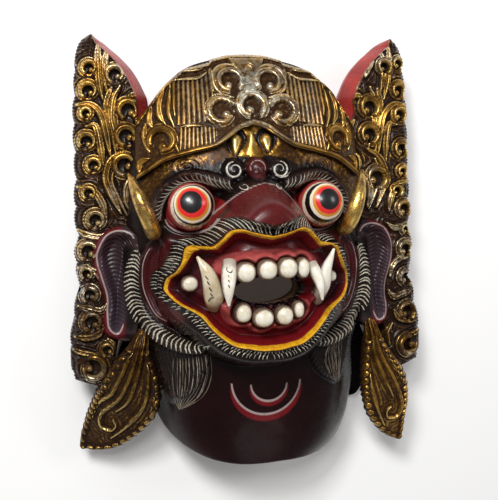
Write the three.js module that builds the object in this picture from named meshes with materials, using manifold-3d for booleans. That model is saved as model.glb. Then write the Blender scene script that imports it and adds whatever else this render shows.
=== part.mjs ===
// A Balinese barong mask: one carved wooden head with a gilded crown, two tall
// pierced-leaf side wings, ears with leaf pendants, an open fanged mouth and a
// short throat, plus two inserted horns and four inserted tusks.
//
// Millimetres.  The mask lies on its back: +Z out of the face, +Y up the face
// towards the crown, +X to the viewer's right.  The back rim is the plane Z = 0
// and the origin is the middle of the object's footprint on that plane.
import * as THREE from "three";
import { mergeVertices } from "three/addons/utils/BufferGeometryUtils.js";
import Module from "manifold-3d";

const wasm = await Module();
wasm.setup();

// ---------------------------------------------------------------- dimensions
const CY = -28; // height of the mouth centre, the pole of the head's loops
const HOLE = { x: 1.5, y: -27, rx: 25, ry: 10 }; // mouth opening, front edge
const HOLE_BACK = { rx: 27, ry: 13 }; // the same opening on the inside
const CREST_MID = 145; // height of the upper lip's middle
const CREST_SIDE = 40; // height that the muzzle's barrel springs from
const MUZZLE_HALF = 80; // half-width of that barrel
const LOWER_DROP = 17; // how far the lower lip stands back
const NOSE_TOP = 52; // top of the snout
const NOSE_BULGE = 13; // how far the snout stands proud of the lip
const NOSE_ROUND = 30; // length of the snout's rounded upper side
const EYE = { x: 52, y: 37, r: 18, z: 84, bulge: 17 };
const BROW = { x: 50, y: 31, r: 27, width: 5, rise: 8 };
const KNOB = { y: 63.5, r: 9, rise: 8 };
const WHISKER = { x: 45, y: -12, rx: 50.5, ry: 59, rise: 6 };
const RIM_WIDTH = 13; // width of the back rim the mask rests on
const CAVITY_DEPTH = 78; // hollow behind the face
const WING = { back: 27, front: 51, tilt: 6 };
const WING_TOP = 143 * 1.004 - CY; // level with the throat's lower edge, mirrored
const EAR = { back: 30, rim: 60, bowl: 49 };
const WING_SHIFT = 3; // the wings sit this far to the right of the face
const CENTRE_X = -WING_SHIFT; // brings the whole outline back over the origin
const THROAT_EXTRA = 13; // how much wider the throat swells on the right
const LEAF_THICK = 12;
const FIT = 0.3; // clearance round an inserted horn or tusk
const AROUND = 70; // points round each loop of the head

// ------------------------------------------------------------------- helpers
const clamp = (v, a, b) => Math.min(b, Math.max(a, v));
const smooth = (t) => {
  t = clamp(t, 0, 1);
  return t * t * (3 - 2 * t);
};
const smax = (a, b, k) => {
  const h = clamp(0.5 + (0.5 * (a - b)) / k, 0, 1);
  return b + (a - b) * h + k * h * (1 - h);
};
// A smooth curve through a short table of [x, y] knots, without overshoot.
function curve(knots) {
  const n = knots.length,
    x = knots.map((p) => p[0]),
    y = knots.map((p) => p[1]);
  const d = [],
    m = new Array(n).fill(0);
  for (let i = 0; i < n - 1; i++) d.push((y[i + 1] - y[i]) / (x[i + 1] - x[i]));
  for (let i = 1; i < n - 1; i++)
    m[i] = d[i - 1] * d[i] <= 0 ? 0 : (2 * d[i - 1] * d[i]) / (d[i - 1] + d[i]);
  m[0] = d[0];
  m[n - 1] = d[n - 2];
  return (v) => {
    v = clamp(v, x[0], x[n - 1]);
    let i = 0;
    while (i < n - 2 && v > x[i + 1]) i++;
    const h = x[i + 1] - x[i],
      t = (v - x[i]) / h;
    return (
      (1 + 2 * t) * (1 - t) ** 2 * y[i] +
      t * (1 - t) ** 2 * h * m[i] +
      t * t * (3 - 2 * t) * y[i + 1] +
      t * t * (t - 1) * h * m[i + 1]
    );
  };
}
// A closed solid lofted through loops of equal point count, capped at both ends
// or, when ring is true, joined from the last loop back to the first.
function loft(loops, ring = false) {
  const n = loops[0].length,
    rows = loops.length,
    pos = loops.flat(),
    idx = [];
  const at = (i, j) => (i % rows) * n + (j % n);
  for (let i = 0; i < (ring ? rows : rows - 1); i++)
    for (let j = 0; j < n; j++)
      idx.push(at(i, j), at(i, j + 1), at(i + 1, j + 1), at(i, j), at(i + 1, j + 1), at(i + 1, j));
  if (!ring)
    for (const [row, flip] of [[0, true], [rows - 1, false]]) {
      const c = [0, 1, 2].map((k) => loops[row].reduce((s, p) => s + p[k], 0) / n);
      const k = pos.push(c) - 1;
      for (let j = 0; j < n; j++)
        idx.push(...(flip ? [at(row, j + 1), at(row, j), k] : [at(row, j), at(row, j + 1), k]));
    }
  return solid(pos, idx);
}
function solid(pos, idx) {
  const make = (tri) =>
    new wasm.Manifold(
      new wasm.Mesh({
        numProp: 3,
        vertProperties: new Float32Array(pos.flat()),
        triVerts: new Uint32Array(tri),
      }),
    );
  let s = make(idx);
  if (s.volume() < 0) {
    const back = [];
    for (let i = 0; i < idx.length; i += 3) back.push(idx[i], idx[i + 2], idx[i + 1]);
    s = make(back);
  }
  return s;
}
function fromThree(geometry) {
  let g = geometry.index ? geometry.toNonIndexed() : geometry.clone();
  g = new THREE.BufferGeometry().setAttribute("position", g.getAttribute("position"));
  g = mergeVertices(g, 1e-3);
  return new wasm.Manifold(
    new wasm.Mesh({
      numProp: 3,
      vertProperties: g.attributes.position.array,
      triVerts: new Uint32Array(g.index.array),
    }),
  );
}
function bead(x, y, z, rx, ry, rz, w = 7, h = 6) {
  const g = new THREE.SphereGeometry(1, w, h);
  g.applyMatrix4(
    new THREE.Matrix4().compose(
      new THREE.Vector3(x, y, z),
      new THREE.Quaternion(),
      new THREE.Vector3(rx, ry, rz),
    ),
  );
  return fromThree(g);
}
function geometryOf(man) {
  const m = man.getMesh();
  const g = new THREE.BufferGeometry();
  g.setAttribute("position", new THREE.BufferAttribute(new Float32Array(m.vertProperties), 3));
  g.setIndex(new THREE.BufferAttribute(new Uint32Array(m.triVerts), 1));
  g.computeVertexNormals();
  return g;
}
// A tapered, curved peg: circles of radius r(t) swept along a smooth curve.
// grow widens it, and lengthens its root, by a clearance.
function peg(points, radii, grow = 0, steps = 9, around = 9, flat = 1) {
  const path = new THREE.CatmullRomCurve3(points.map((p) => new THREE.Vector3(...p)));
  const r = curve(radii),
    loops = [];
  for (let i = 0; i <= steps; i++) {
    const t = i / steps,
      p = path.getPoint(t),
      d = path.getTangent(t);
    if (i === 0) p.addScaledVector(d, -grow);
    const side = new THREE.Vector3(1, 0, 0).addScaledVector(d, -d.x).normalize(),
      out = d.clone().cross(side).normalize();
    const loop = [];
    for (let j = 0; j < around; j++) {
      const a = (j / around) * 2 * Math.PI;
      const v = p
        .clone()
        .addScaledVector(side, (r(t) + grow) * Math.cos(a))
        .addScaledVector(out, (r(t) * flat + grow) * Math.sin(a));
      loop.push([v.x, v.y, v.z]);
    }
    loops.push(loop);
  }
  return loft(loops);
}

// ------------------------------------------------------------- head profiles
// Outline of the head seen from the front, as radius against bearing (degrees)
// about the mouth centre.  The throat swells further out on the right.
const CROWN_OUTLINE = [
  [-29, 103], [-15, 100.7], [0, 102], [25, 113.6], [41, 132.5], [54, 154.5], [61.8, 162.5],
  [66, 168.5], [70, 173.5], [75.7, 179.5], [82, 181.5], [86, 183.3], [90, 183.5],
];
const OUTLINE_SIDE = {
  left: curve([[-90, 143], [-83, 143], [-76, 143], [-69, 141.5], [-62, 138.5], [-55, 132], [-49, 122.5], [-43, 121], [-37, 123], [-33, 119], ...CROWN_OUTLINE]),
  right: curve([[-90, 143], [-84, 143.4], [-78, 146], [-72, 149.8], [-66, 152.8], [-60, 152], [-55, 146.5], [-51, 139.5], [-46, 141], [-40, 133], [-34, 120], ...CROWN_OUTLINE]),
};
const OUTLINE = (b) => OUTLINE_SIDE[b.c < 0 ? "left" : "right"](b.deg);
// Outline of the lips, the same way.
const LIP = curve([
  [-90, 40.8], [-70, 42], [-55, 45], [-42, 46.5], [-30, 48], [-20, 50], [-13, 55],
  [-8, 62], [-3, 68], [2, 72], [8, 71], [14, 66], [22, 64], [29, 63.5], [34, 61],
  [37, 56.5], [42, 52], [50, 52], [58, 53], [65, 51], [72, 46.5], [80, 43], [90, 40.8],
]);
// Smooth rounded outline that the muzzle's flanks fall away from.
const FLANK = curve([[-90, 44], [-60, 48], [-30, 53], [-5, 70], [10, 72], [30, 66], [60, 57], [90, 51]]);
const DOME_CREST = curve([
  [-178, 66], [-150, 76], [-120, 82], [-96, 84], [-70, 84], [-30, 84], [20, 86],
  [50, 90], [75, 87], [100, 79], [125, 69], [145, 59], [158, 50],
]);
const DOME_HALF = curve([
  [-178, 52], [-160, 70], [-140, 78], [-120, 82], [-100, 88], [-75, 95], [-50, 102],
  [0, 105], [50, 104], [80, 100], [100, 96], [120, 90], [140, 80], [158, 64],
]);
const DOME_EDGE = curve([
  [-178, 8], [-130, 8], [-100, 14], [-60, 22], [0, 27], [60, 28], [100, 31],
  [120, 36], [158, 42],
]);
// How far the inside of the lips lies behind their edge, from the mouth
// opening (0) to that edge (1): gum, groove, then the flared lip.
const LIP_DEPTH = curve([
  [0, 29], [0.12, 24], [0.3, 16], [0.45, 14], [0.6, 18], [0.75, 19], [0.88, 11],
  [0.96, 3], [1, 0],
]);

const lipCrest = (a, y) => {
  let z = CREST_SIDE + (CREST_MID - CREST_SIDE) * Math.sqrt(Math.max(0, 1 - (a / MUZZLE_HALF) ** 2));
  return z - LOWER_DROP * clamp((-10 - y) / 50, 0, 1) * clamp(1 - (a / 75) ** 2, 0, 1);
};
const holeRadius = (th, h = HOLE) => {
  const c = Math.cos(th) / h.rx,
    s = Math.sin(th) / h.ry;
  return 1 / Math.hypot(c, s);
};
const ridge = (d, width) => Math.exp(-((d / width) ** 2));

function headZ(x, y) {
  const a = Math.abs(x);
  const half = DOME_HALF(y) + (x > 0 ? THROAT_EXTRA * smooth((-75 - y) / 50) : 0);
  const k = Math.min(1, a / half),
    ze = DOME_EDGE(y);
  let z = ze + (DOME_CREST(y) - ze) * Math.pow(1 - Math.pow(k, 2.6), 0.55);
  // brows, lids and eyeballs
  const bx = a - BROW.x,
    by = y - BROW.y,
    br = Math.hypot(bx, by),
    ba = Math.atan2(by, bx);
  if (ba > -0.6 && ba < 2.7) z += BROW.rise * ridge(br - BROW.r, BROW.width) * smooth((ba + 0.6) / 0.5) * smooth((2.7 - ba) / 0.5);
  const er = Math.hypot(a - EYE.x, y - EYE.y);
  z -= 5 * ridge(er - EYE.r - 1.5, 3);
  // whisker roll from the temple round the jaw
  const wr = Math.hypot((a - WHISKER.x) / WHISKER.rx, (y - WHISKER.y) / WHISKER.ry),
    wa = (Math.atan2(y - WHISKER.y, a - WHISKER.x) * 180) / Math.PI;
  z += WHISKER.rise * ridge((wr - 1) * 55, 5.5) * smooth((25 - wa) / 12) * smooth((wa + 98) / 12);
  // forehead knob
  z += KNOB.rise * ridge(Math.hypot(a, y - KNOB.y), KNOB.r);
  // muzzle, lips and snout
  const th = Math.atan2(y - CY, a),
    deg = (th * 180) / Math.PI,
    r = Math.hypot(a, y - CY),
    rl = LIP(deg),
    q = r - rl;
  const c = lipCrest(a, y);
  let m;
  if (q <= 0) {
    const rh = holeRadius(th);
    return c - LIP_DEPTH(clamp((r - rh) / (rl - rh), 0, 1));
  }
  const up = smooth((deg - 18) / 17),
    u = Math.max(0, (r - FLANK(deg) - 3) / (deg < -30 ? 14 : 18));
  m = c - 3.5 * smooth(q / 3) - 50 * u * u * (1 - up);
  const top = NOSE_TOP + 1 - 0.02 * a * a,
    v = clamp((y - (top - NOSE_ROUND)) / (NOSE_ROUND + 9), 0, 1);
  const bulge = (3.5 + NOSE_BULGE * ridge(a, 26)) * smooth((q - 7) / 10);
  m += up * bulge;
  m -= up * Math.max(0, m - z + 6) * (0.6 * v * v + 0.4 * smooth(v));
  z = smax(z, m, 5);
  return z;
}

// Larger carving of the crown: base band, arch over the forehead leaf, flutes
// and the scroll cluster.
function crownZ(x, y) {
  const a = Math.abs(x);
  let z = 0;
  const base = 98 - 0.028 * Math.max(0, a) ** 1.62;
  if (a < 92) z += 5 * ridge(y - base, 3.2);
  if (y > base + 2) {
    z += 5 * smooth((y - base) / 6);
    if (a > 27 && a < 62 && y > 98 && y < 138) z += 1.6 * Math.cos((a * 2 * Math.PI) / 5.2);
  }
  for (const [sx, sy, sr] of [[15.5, 133, 9], [0, 112.5, 9.5], [23.5, 108.5, 9], [70, 87, 9]]) {
    const d = Math.hypot(a - sx, y - sy);
    z += 6 * ridge(d - sr * 0.85, 3) + 4 * ridge(d, 3);
  }
  return z;
}

// --------------------------------------------------------------- head solid
const INNER = [0, 0.16, 0.38, 0.6, 0.82, 1];
const OUTER = [0.03, 0.08, 0.14, 0.2, 0.26, 0.33, 0.41, 0.5, 0.6, 0.71, 0.83, 0.93, 1];
const CAVITY = [0, 0.3, 0.56, 0.76, 0.91, 1];

function bearing(j) {
  const t = (j / AROUND) * 2 * Math.PI - Math.PI / 2;
  const c = Math.cos(t),
    s = Math.sin(t);
  return { t, c, s, deg: (Math.asin(clamp(s, -1, 1)) * 180) / Math.PI };
}
function headSolid() {
  const loops = [];
  const front = (fr) => {
    const loop = [];
    for (let j = 0; j < AROUND; j++) {
      const b = bearing(j);
      const [x, y] = fr(b);
      loop.push([x, y, headZ(x, y) + (y > 55 ? crownZ(x, y) : 0)]);
    }
    return loop;
  };
  for (const t of INNER)
    loops.push(
      front((b) => {
        const rh = holeRadius(b.t),
          rl = LIP(b.deg);
        const hx = HOLE.x + rh * b.c,
          hy = HOLE.y + rh * b.s;
        return [hx + (rl * b.c - hx) * t, hy + (CY + rl * b.s - hy) * t];
      }),
    );
  for (const u of OUTER)
    loops.push(
      front((b) => {
        const r = LIP(b.deg) + (OUTLINE(b) - LIP(b.deg)) * u;
        return [r * b.c, CY + r * b.s];
      }),
    );
  const edge = loops[loops.length - 1];
  // side wall, down to the rim
  loops.push(edge.map(([x, y, z]) => [x * 1.004, CY + (y - CY) * 1.004, z * 0.5]));
  loops.push(edge.map(([x, y]) => [x, y, 0]));
  // hollow
  for (const s of [...CAVITY].reverse()) {
    const loop = [];
    for (let j = 0; j < AROUND; j++) {
      const b = bearing(j);
      const rh = holeRadius(b.t, HOLE_BACK);
      const hx = HOLE.x + rh * b.c,
        hy = HOLE.y + rh * b.s;
      const ro = OUTLINE(b) - RIM_WIDTH;
      const ox = ro * b.c,
        oy = CY + ro * b.s;
      loop.push([hx + (ox - hx) * s, hy + (oy - hy) * s, CAVITY_DEPTH * Math.pow(1 - Math.pow(s, 2.4), 0.8)]);
    }
    loops.push(loop);
  }
  return loft(loops, true);
}

// --------------------------------------------------- wings, ears and leaves
// Each is a slab lofted through cross-sections; side is +1 right, -1 left.
const WING_OUT = curve([
  [-104, 131], [-99, 145], [-90, 148], [-75, 148.5], [-55, 145.5], [-37, 142.5], [-24, 139],
  [-10, 141.5], [2, 142], [12, 139.5], [35, 141], [66, 139.5], [100, 139.5], [135, 137.5],
  [155, 135.5], [164, 133], [169, 129.5], [WING_TOP, 125.5],
]);
const WING_IN = curve([
  [-104, 124], [-98, 118], [-85, 113], [-60, 108], [-20, 100], [20, 92], [60, 84], [100, 79],
  [120, 79.5], [133, 84], [145, 90.5], [156, 100], [163, 108], [168.5, 114.5], [WING_TOP, 119.5],
]);
const WING_ROWS = [-104, -99, -88, -70, -52, -38, -24, -8, 8, 24, 42, 60, 78, 96, 112, 126, 138, 149, 158, 166, WING_TOP];
function wingSolid(side) {
  const loops = WING_ROWS.map((y) => {
    const i = WING_IN(y),
      o = WING_OUT(y) + 1.3 * Math.cos((y * 2 * Math.PI) / 26),
      w = o - i,
      red = Math.min(9, w * 0.4) * smooth((y - 70) / 40);
    const f = (x) => WING.front - WING.tilt * ((x - i) / Math.max(w, 1));
    const mid = (t) => i + red + (w - red) * t;
    const swell = 4 * Math.sin(Math.min(1, w / 40) * Math.PI * 0.5);
    return [
      [i, y, WING.back + 4], [i + red * 0.35, y, WING.front - 11], [mid(0.0) + 0.6, y, f(i) - 1.5],
      [mid(0.1), y, f(mid(0.1)) + swell * 0.4], [mid(0.28), y, f(mid(0.28)) - 0.5], [mid(0.42), y, f(mid(0.42)) + swell],
      [mid(0.58), y, f(mid(0.58)) - 0.5], [mid(0.74), y, f(mid(0.74)) + swell * 0.7], [mid(0.88), y, f(mid(0.88))],
      [o - 1, y, f(o) - 2], [o, y, WING.back + 8], [o - 2, y, WING.back + 1], [(i + o) / 2, y, WING.back], [i + 3, y, WING.back + 1],
    ].map(([x, yy, z]) => [side * x + WING_SHIFT, yy, z]);
  });
  return loft(loops);
}
const EAR_OUT = curve([
  [-69, 108], [-66, 114.5], [-60, 119], [-52, 119.5], [-41, 117], [-31, 118], [-20, 121.5], [-8, 124],
  [3, 124], [12, 121], [18, 115.5], [22, 108],
]);
const EAR_IN = curve([[-69, 100], [-62, 94], [-50, 92], [-20, 90], [10, 90], [22, 98]]);
const EAR_ROWS = [-69, -66, -60, -50, -40, -30, -20, -10, 0, 10, 18, 22];
function earSolid(side) {
  return loft(
    EAR_ROWS.map((y) => {
      const i = EAR_IN(y),
        o = EAR_OUT(y),
        w = o - i;
      const open = smooth((y + 69) / 14) * smooth((22 - y) / 12);
      const bowl = EAR.rim - (EAR.rim - EAR.bowl) * open;
      return [
        [i, EAR.back], [i + w * 0.04, EAR.rim - 5], [i + w * 0.2, bowl], [i + w * 0.45, bowl - 1.5 * open], [i + w * 0.7, bowl + 1],
        [i + w * 0.84, EAR.rim - 1], [i + w * 0.94, EAR.rim - 2], [o, EAR.rim - 8], [o - 1, EAR.back + 4], [o - 5, EAR.back],
      ].map(([x, z]) => [side * x, y, z]);
    }),
  );
}
// Leaf pendants hang from below the ears: middle line and half-widths, root to tip.
const LEAF = {
  left: {
    line: [[-87.5, -60, 54], [-91, -74, 56], [-94.5, -88, 55], [-97.4, -102.6, 52], [-102.5, -119.7, 46], [-118.9, -142.5, 32], [-138.1, -159.1, 18]],
    half: curve([[0, 4], [0.17, 9], [0.33, 17.5], [0.5, 24], [0.66, 27], [0.84, 20.5], [0.94, 12], [1, 3.5]]),
  },
  right: {
    line: [[99.5, -60, 54], [101.5, -72, 56], [104, -87.9, 55], [109, -103.9, 53], [113.8, -119.3, 50], [117.5, -136, 46], [123, -152.4, 41], [132, -169, 34]],
    half: curve([[0, 4], [0.14, 7], [0.28, 12], [0.43, 18.5], [0.57, 21.5], [0.71, 20.5], [0.86, 14.5], [0.95, 8.5], [1, 3.5]]),
  },
};
const LEAF_ROWS = [0, 0.12, 0.26, 0.4, 0.54, 0.68, 0.84, 1];
function leafSolid(side) {
  const { line, half } = LEAF[side < 0 ? "left" : "right"];
  const path = new THREE.CatmullRomCurve3(line.map((p) => new THREE.Vector3(...p)));
  return loft(
    LEAF_ROWS.map((t, n) => {
      const w = half(t) * (n % 2 ? 0.97 : 1),
        T = LEAF_THICK * (0.45 + 0.55 * Math.sin(Math.PI * clamp(t * 0.8 + 0.25, 0, 1)));
      const ease = Math.sin(Math.PI * Math.min(1, t * 1.05)) * 3;
      const p0 = path.getPoint(t),
        along = path.getTangent(t);
      const across = new THREE.Vector3(0, 0, 1).cross(along).normalize(),
        up = along.clone().cross(across).normalize();
      return [
        [-1, T * 0.35], [-0.8, T * 0.85], [-0.5, T + 1], [-0.24, T * 0.75], [0, T + 1.5], [0.24, T * 0.75],
        [0.5, T + 1], [0.8, T * 0.85], [1, T * 0.35], [0.5, -0.5], [-0.5, -0.5],
      ].map(([s, h]) => {
        const p = p0
          .clone()
          .addScaledVector(across, s * w)
          .addScaledVector(up, h - T * 0.5 + ease * (1 - s * s));
        return [p.x, p.y, p.z];
      });
    }),
  );
}
// Pointed beard lock hanging from each side of the jaw over the throat.
function lockSolid(side) {
  const rows = [[-62, 54, 88, 77], [-76, 47, 87, 83], [-90, 46, 83, 82], [-104, 53, 78, 74], [-114, 61, 73, 63], [-120, 66.5, 69.5, 54]];
  return loft(
    rows.map(([y, i, o, z]) => {
      const w = o - i;
      return [
        [i, z - 12], [i + w * 0.08, z - 4], [i + w * 0.3, z], [i + w * 0.5, z + 0.5], [i + w * 0.75, z - 5],
        [i + w * 0.95, z - 13], [o, z - 20], [i + w * 0.5, z - 16],
      ].map(([x, zz]) => [side * x, y, zz]);
    }),
  );
}

// -------------------------------------------------------------- loose pieces
const HORN = {
  left: [[-77, 22, 60], [-78.5, 17, 80], [-82.5, 27, 92], [-88.5, 42, 93], [-93, 54, 85], [-95.5, 61.5, 77]],
  right: [[71.5, 16, 60], [73, 16.5, 80], [76, 27, 90], [81, 42, 90], [85.5, 54, 83], [88.5, 61.5, 76]],
};
const HORN_R = [[0, 4.8], [0.2, 6.2], [0.45, 6.2], [0.78, 3.8], [1, 1]];
const UPPER = {
  left: [[-28, 1, 120], [-29.5, -12, 131], [-31.5, -24, 134], [-31, -35, 133]],
  right: [[30, 1, 120], [32.5, -12, 130], [35.5, -23, 133], [37.5, -34, 132]],
};
const UPPER_R = [[0, 4.6], [0.3, 5], [0.65, 3.7], [1, 0.9]];
const LOWER = {
  left: [[-38, -40, 104], [-42.5, -28, 117], [-46.5, -14, 122], [-51, 0, 121]],
  right: [[42, -38, 103], [45.5, -25, 116], [49, -12, 119], [52.5, 2, 118]],
};
const LOWER_R = [[0, 5.4], [0.3, 6.2], [0.65, 4.2], [1, 0.9]];

let mask = headSolid();
for (const side of [1, -1]) mask = mask.add(wingSolid(side)).add(earSolid(side)).add(leafSolid(side)).add(lockSolid(side));
// eyeballs, bulging under the brows
for (const side of [1, -1]) mask = mask.add(bead(side * EYE.x, EYE.y, EYE.z, EYE.r, EYE.r, EYE.bulge, 14, 8));
const TEETH = [
  [-18, -12, 133, 7.4, 7.6], [-3, -10.5, 136, 7.4, 7.4], [12, -10, 134, 7.6, 7.8], [24, -10.5, 131, 5, 7.8],
  [-18.3, -42.5, 119, 6.6, 7.4], [-4, -46.5, 122, 8, 7.2], [11.8, -45.5, 121, 7, 7.3], [23.2, -42, 118, 4.4, 6.6],
];
for (const [x, y, z, rx, ry] of TEETH) mask = mask.add(bead(x, y, z - 3, rx, ry, 7.5));
// a round molar in each corner of the mouth
mask = mask.add(bead(-58, -22.5, 98, 6, 6, 8, 7, 5)).add(bead(59, -21.5, 96, 5, 5.5, 8, 7, 5));

// inserted pieces: [path, radii, steps, points round, flattening]
const PEGS = {
  horn_left: [HORN.left, HORN_R, 8, 9, 1],
  horn_right: [HORN.right, HORN_R, 8, 9, 1],
  upper_tusk_left: [UPPER.left, UPPER_R, 7, 8, 1],
  upper_tusk_right: [UPPER.right, UPPER_R, 7, 8, 1],
  lower_tusk_left: [LOWER.left, LOWER_R, 7, 8, 0.8],
  lower_tusk_right: [LOWER.right, LOWER_R, 7, 8, 0.8],
};
const pegOf = ([path, radii, ...shape], by = 0) => peg(path, radii, by, ...shape);
// the sockets those pegs stand in
const sockets = Object.values(PEGS).map((p) => pegOf(p, FIT));
for (const s of sockets) mask = mask.subtract(s);
const wholes = mask.decompose().sort((p, q) => q.volume() - p.volume());
mask = wholes[0];

const paint = {
  wood: new THREE.MeshStandardMaterial({ color: 0x3a1512, roughness: 0.45, metalness: 0 }),
  gilt: new THREE.MeshStandardMaterial({ color: 0xa8802a, roughness: 0.35, metalness: 0.6 }),
  ivory: new THREE.MeshStandardMaterial({ color: 0xe6dfce, roughness: 0.35, metalness: 0 }),
};
const group = new THREE.Group();
function put(name, man, material) {
  const mesh = new THREE.Mesh(geometryOf(man), material);
  mesh.name = name;
  mesh.position.x = CENTRE_X;
  group.add(mesh);
}
put("mask", mask, paint.wood);
for (const [name, p] of Object.entries(PEGS)) put(name, pegOf(p), name.startsWith("horn") ? paint.gilt : paint.ivory);
export default group;
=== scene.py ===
import math

import bpy
import numpy as np
from mathutils import Matrix, Vector


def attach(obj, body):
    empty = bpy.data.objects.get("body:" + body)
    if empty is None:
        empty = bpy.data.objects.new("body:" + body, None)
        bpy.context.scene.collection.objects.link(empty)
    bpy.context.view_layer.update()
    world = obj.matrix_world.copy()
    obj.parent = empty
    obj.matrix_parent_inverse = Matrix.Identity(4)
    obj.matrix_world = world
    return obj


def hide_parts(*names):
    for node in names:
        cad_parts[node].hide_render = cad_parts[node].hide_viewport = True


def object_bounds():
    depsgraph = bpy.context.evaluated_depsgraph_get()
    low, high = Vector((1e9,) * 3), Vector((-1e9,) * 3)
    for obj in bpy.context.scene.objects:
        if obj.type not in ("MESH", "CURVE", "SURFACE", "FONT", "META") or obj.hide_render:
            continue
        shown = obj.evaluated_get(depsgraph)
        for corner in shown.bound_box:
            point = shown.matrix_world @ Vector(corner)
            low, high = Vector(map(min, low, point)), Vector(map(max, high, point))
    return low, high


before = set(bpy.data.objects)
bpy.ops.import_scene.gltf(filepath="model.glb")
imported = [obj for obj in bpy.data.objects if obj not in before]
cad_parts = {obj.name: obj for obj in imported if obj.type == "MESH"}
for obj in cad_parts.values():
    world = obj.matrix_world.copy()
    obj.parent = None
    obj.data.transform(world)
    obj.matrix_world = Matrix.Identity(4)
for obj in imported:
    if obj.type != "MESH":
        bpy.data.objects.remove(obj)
cad_lo, cad_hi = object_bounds()
WING_SHIFT = 3.0  # the wings sit this far to the right of the face
FACE = np.array([-WING_SHIFT, 0.0, 0.0])  # where the face's own origin lies in the CAD frame
BOX_LO = np.array(cad_lo) * 1000.0 - FACE
BOX_HI = np.array(cad_hi) * 1000.0 - FACE
Z_TOP = BOX_HI[2] - 0.15
rng = np.random.default_rng(17)


# ------------------------------------------------------------------ numbers
def smooth(t):
    t = np.clip(t, 0, 1)
    return t * t * (3 - 2 * t)


def smax(a, b, k):
    h = np.clip(0.5 + 0.5 * (a - b) / k, 0, 1)
    return b + (a - b) * h + k * h * (1 - h)


def ridge(d, w):
    return np.exp(-((d / w) ** 2))


def curve(knots):
    x = np.array([k[0] for k in knots], float)
    y = np.array([k[1] for k in knots], float)
    d = np.diff(y) / np.diff(x)
    m = np.zeros(len(x))
    for i in range(1, len(x) - 1):
        m[i] = 0 if d[i - 1] * d[i] <= 0 else 2 * d[i - 1] * d[i] / (d[i - 1] + d[i])
    m[0], m[-1] = d[0], d[-1]

    def f(v):
        v = np.clip(v, x[0], x[-1])
        i = np.clip(np.searchsorted(x, v, side="right") - 1, 0, len(x) - 2)
        h = x[i + 1] - x[i]
        t = (v - x[i]) / h
        return ((1 + 2 * t) * (1 - t) ** 2 * y[i] + t * (1 - t) ** 2 * h * m[i]
                + t * t * (3 - 2 * t) * y[i + 1] + t * t * (t - 1) * h * m[i + 1])

    return f


def fine(points, step=1.0, closed=False):
    """A smooth polyline (Catmull-Rom) through the points, at about that step."""
    p = np.array(points, float)
    n = len(p)
    q = np.vstack([p[-1], p, p[0], p[1]]) if closed else np.vstack([2 * p[0] - p[1], p, 2 * p[-1] - p[-2]])
    out = []
    for i in range(n if closed else n - 1):
        a, b, c, d = q[i], q[i + 1], q[i + 2], q[i + 3]
        k = max(2, int(math.ceil(np.linalg.norm(c - b) / step)))
        t = (np.arange(k) / k)[:, None]
        out.append(0.5 * (2 * b + (c - a) * t + (2 * a - 5 * b + 4 * c - d) * t**2 + (3 * b - a - 3 * c + d) * t**3))
    if not closed:
        out.append(p[-1:])
    return np.vstack(out)


def mirrored(points, side):
    """side +1 gives the viewer's right, from points traced on the left."""
    return [(-side * p[0] if side > 0 else p[0],) + tuple(p[1:]) for p in points] if side > 0 else list(points)


def seg_dist(x, y, line, closed=False):
    """Distance to a polyline, share of its length at the nearest point, and signed side."""
    p = np.asarray(line, float)[:, :2]
    if closed:
        p = np.vstack([p, p[:1]])
    seg = p[1:] - p[:-1]
    ln = np.hypot(seg[:, 0], seg[:, 1])
    cum = np.concatenate([[0], np.cumsum(ln)])
    best = np.full(x.shape, 1e9)
    s = np.zeros(x.shape)
    side = np.ones(x.shape)
    for i in range(len(seg)):
        if ln[i] < 1e-6:
            continue
        dx, dy = x - p[i, 0], y - p[i, 1]
        t = np.clip((dx * seg[i, 0] + dy * seg[i, 1]) / ln[i] ** 2, 0, 1)
        ex, ey = dx - t * seg[i, 0], dy - t * seg[i, 1]
        d = ex * ex + ey * ey
        near = d < best
        best = np.where(near, d, best)
        s = np.where(near, (cum[i] + t * ln[i]) / cum[-1], s)
        side = np.where(near, np.sign(seg[i, 0] * dy - seg[i, 1] * dx), side)
    return np.sqrt(best), s, side


def inside(x, y, poly):
    p = np.asarray(poly, float)
    c = np.zeros(x.shape, bool)
    j = len(p) - 1
    for i in range(len(p)):
        cond = (p[i, 1] > y) != (p[j, 1] > y)
        with np.errstate(divide="ignore", invalid="ignore"):
            xi = (p[j, 0] - p[i, 0]) * (y - p[i, 1]) / (p[j, 1] - p[i, 1]) + p[i, 0]
        c ^= cond & (x < xi)
        j = i
    return c


def signed(x, y, poly):
    """Signed distance to a closed outline, negative inside; far points get 99."""
    p = np.asarray(poly, float)
    lo, hi = p.min(0) - 14, p.max(0) + 14
    out = np.full(x.shape, 99.0)
    m = (x > lo[0]) & (x < hi[0]) & (y > lo[1]) & (y < hi[1])
    if m.any():
        d, _, _ = seg_dist(x[m], y[m], p, closed=True)
        out[m] = np.where(inside(x[m], y[m], p), -d, d)
    return out


def near_line(x, y, line, reach, closed=False):
    """Indices near a polyline with distance, share and side there."""
    p = np.asarray(line, float)
    lo, hi = p.min(0)[:2] - reach, p.max(0)[:2] + reach
    m = np.nonzero((x > lo[0]) & (x < hi[0]) & (y > lo[1]) & (y < hi[1]))
    if len(m[0]) == 0:
        return m, np.zeros(0), np.zeros(0), np.zeros(0)
    d, s, side = seg_dist(x[m], y[m], p, closed)
    keep = d < reach
    return tuple(k[keep] for k in m), d[keep], s[keep], side[keep]


def srgb(r, g, b):
    def f(c):
        c = c / 255
        return c / 12.92 if c <= 0.04045 else ((c + 0.055) / 1.055) ** 2.4

    return np.array([f(r), f(g), f(b)])


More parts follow.
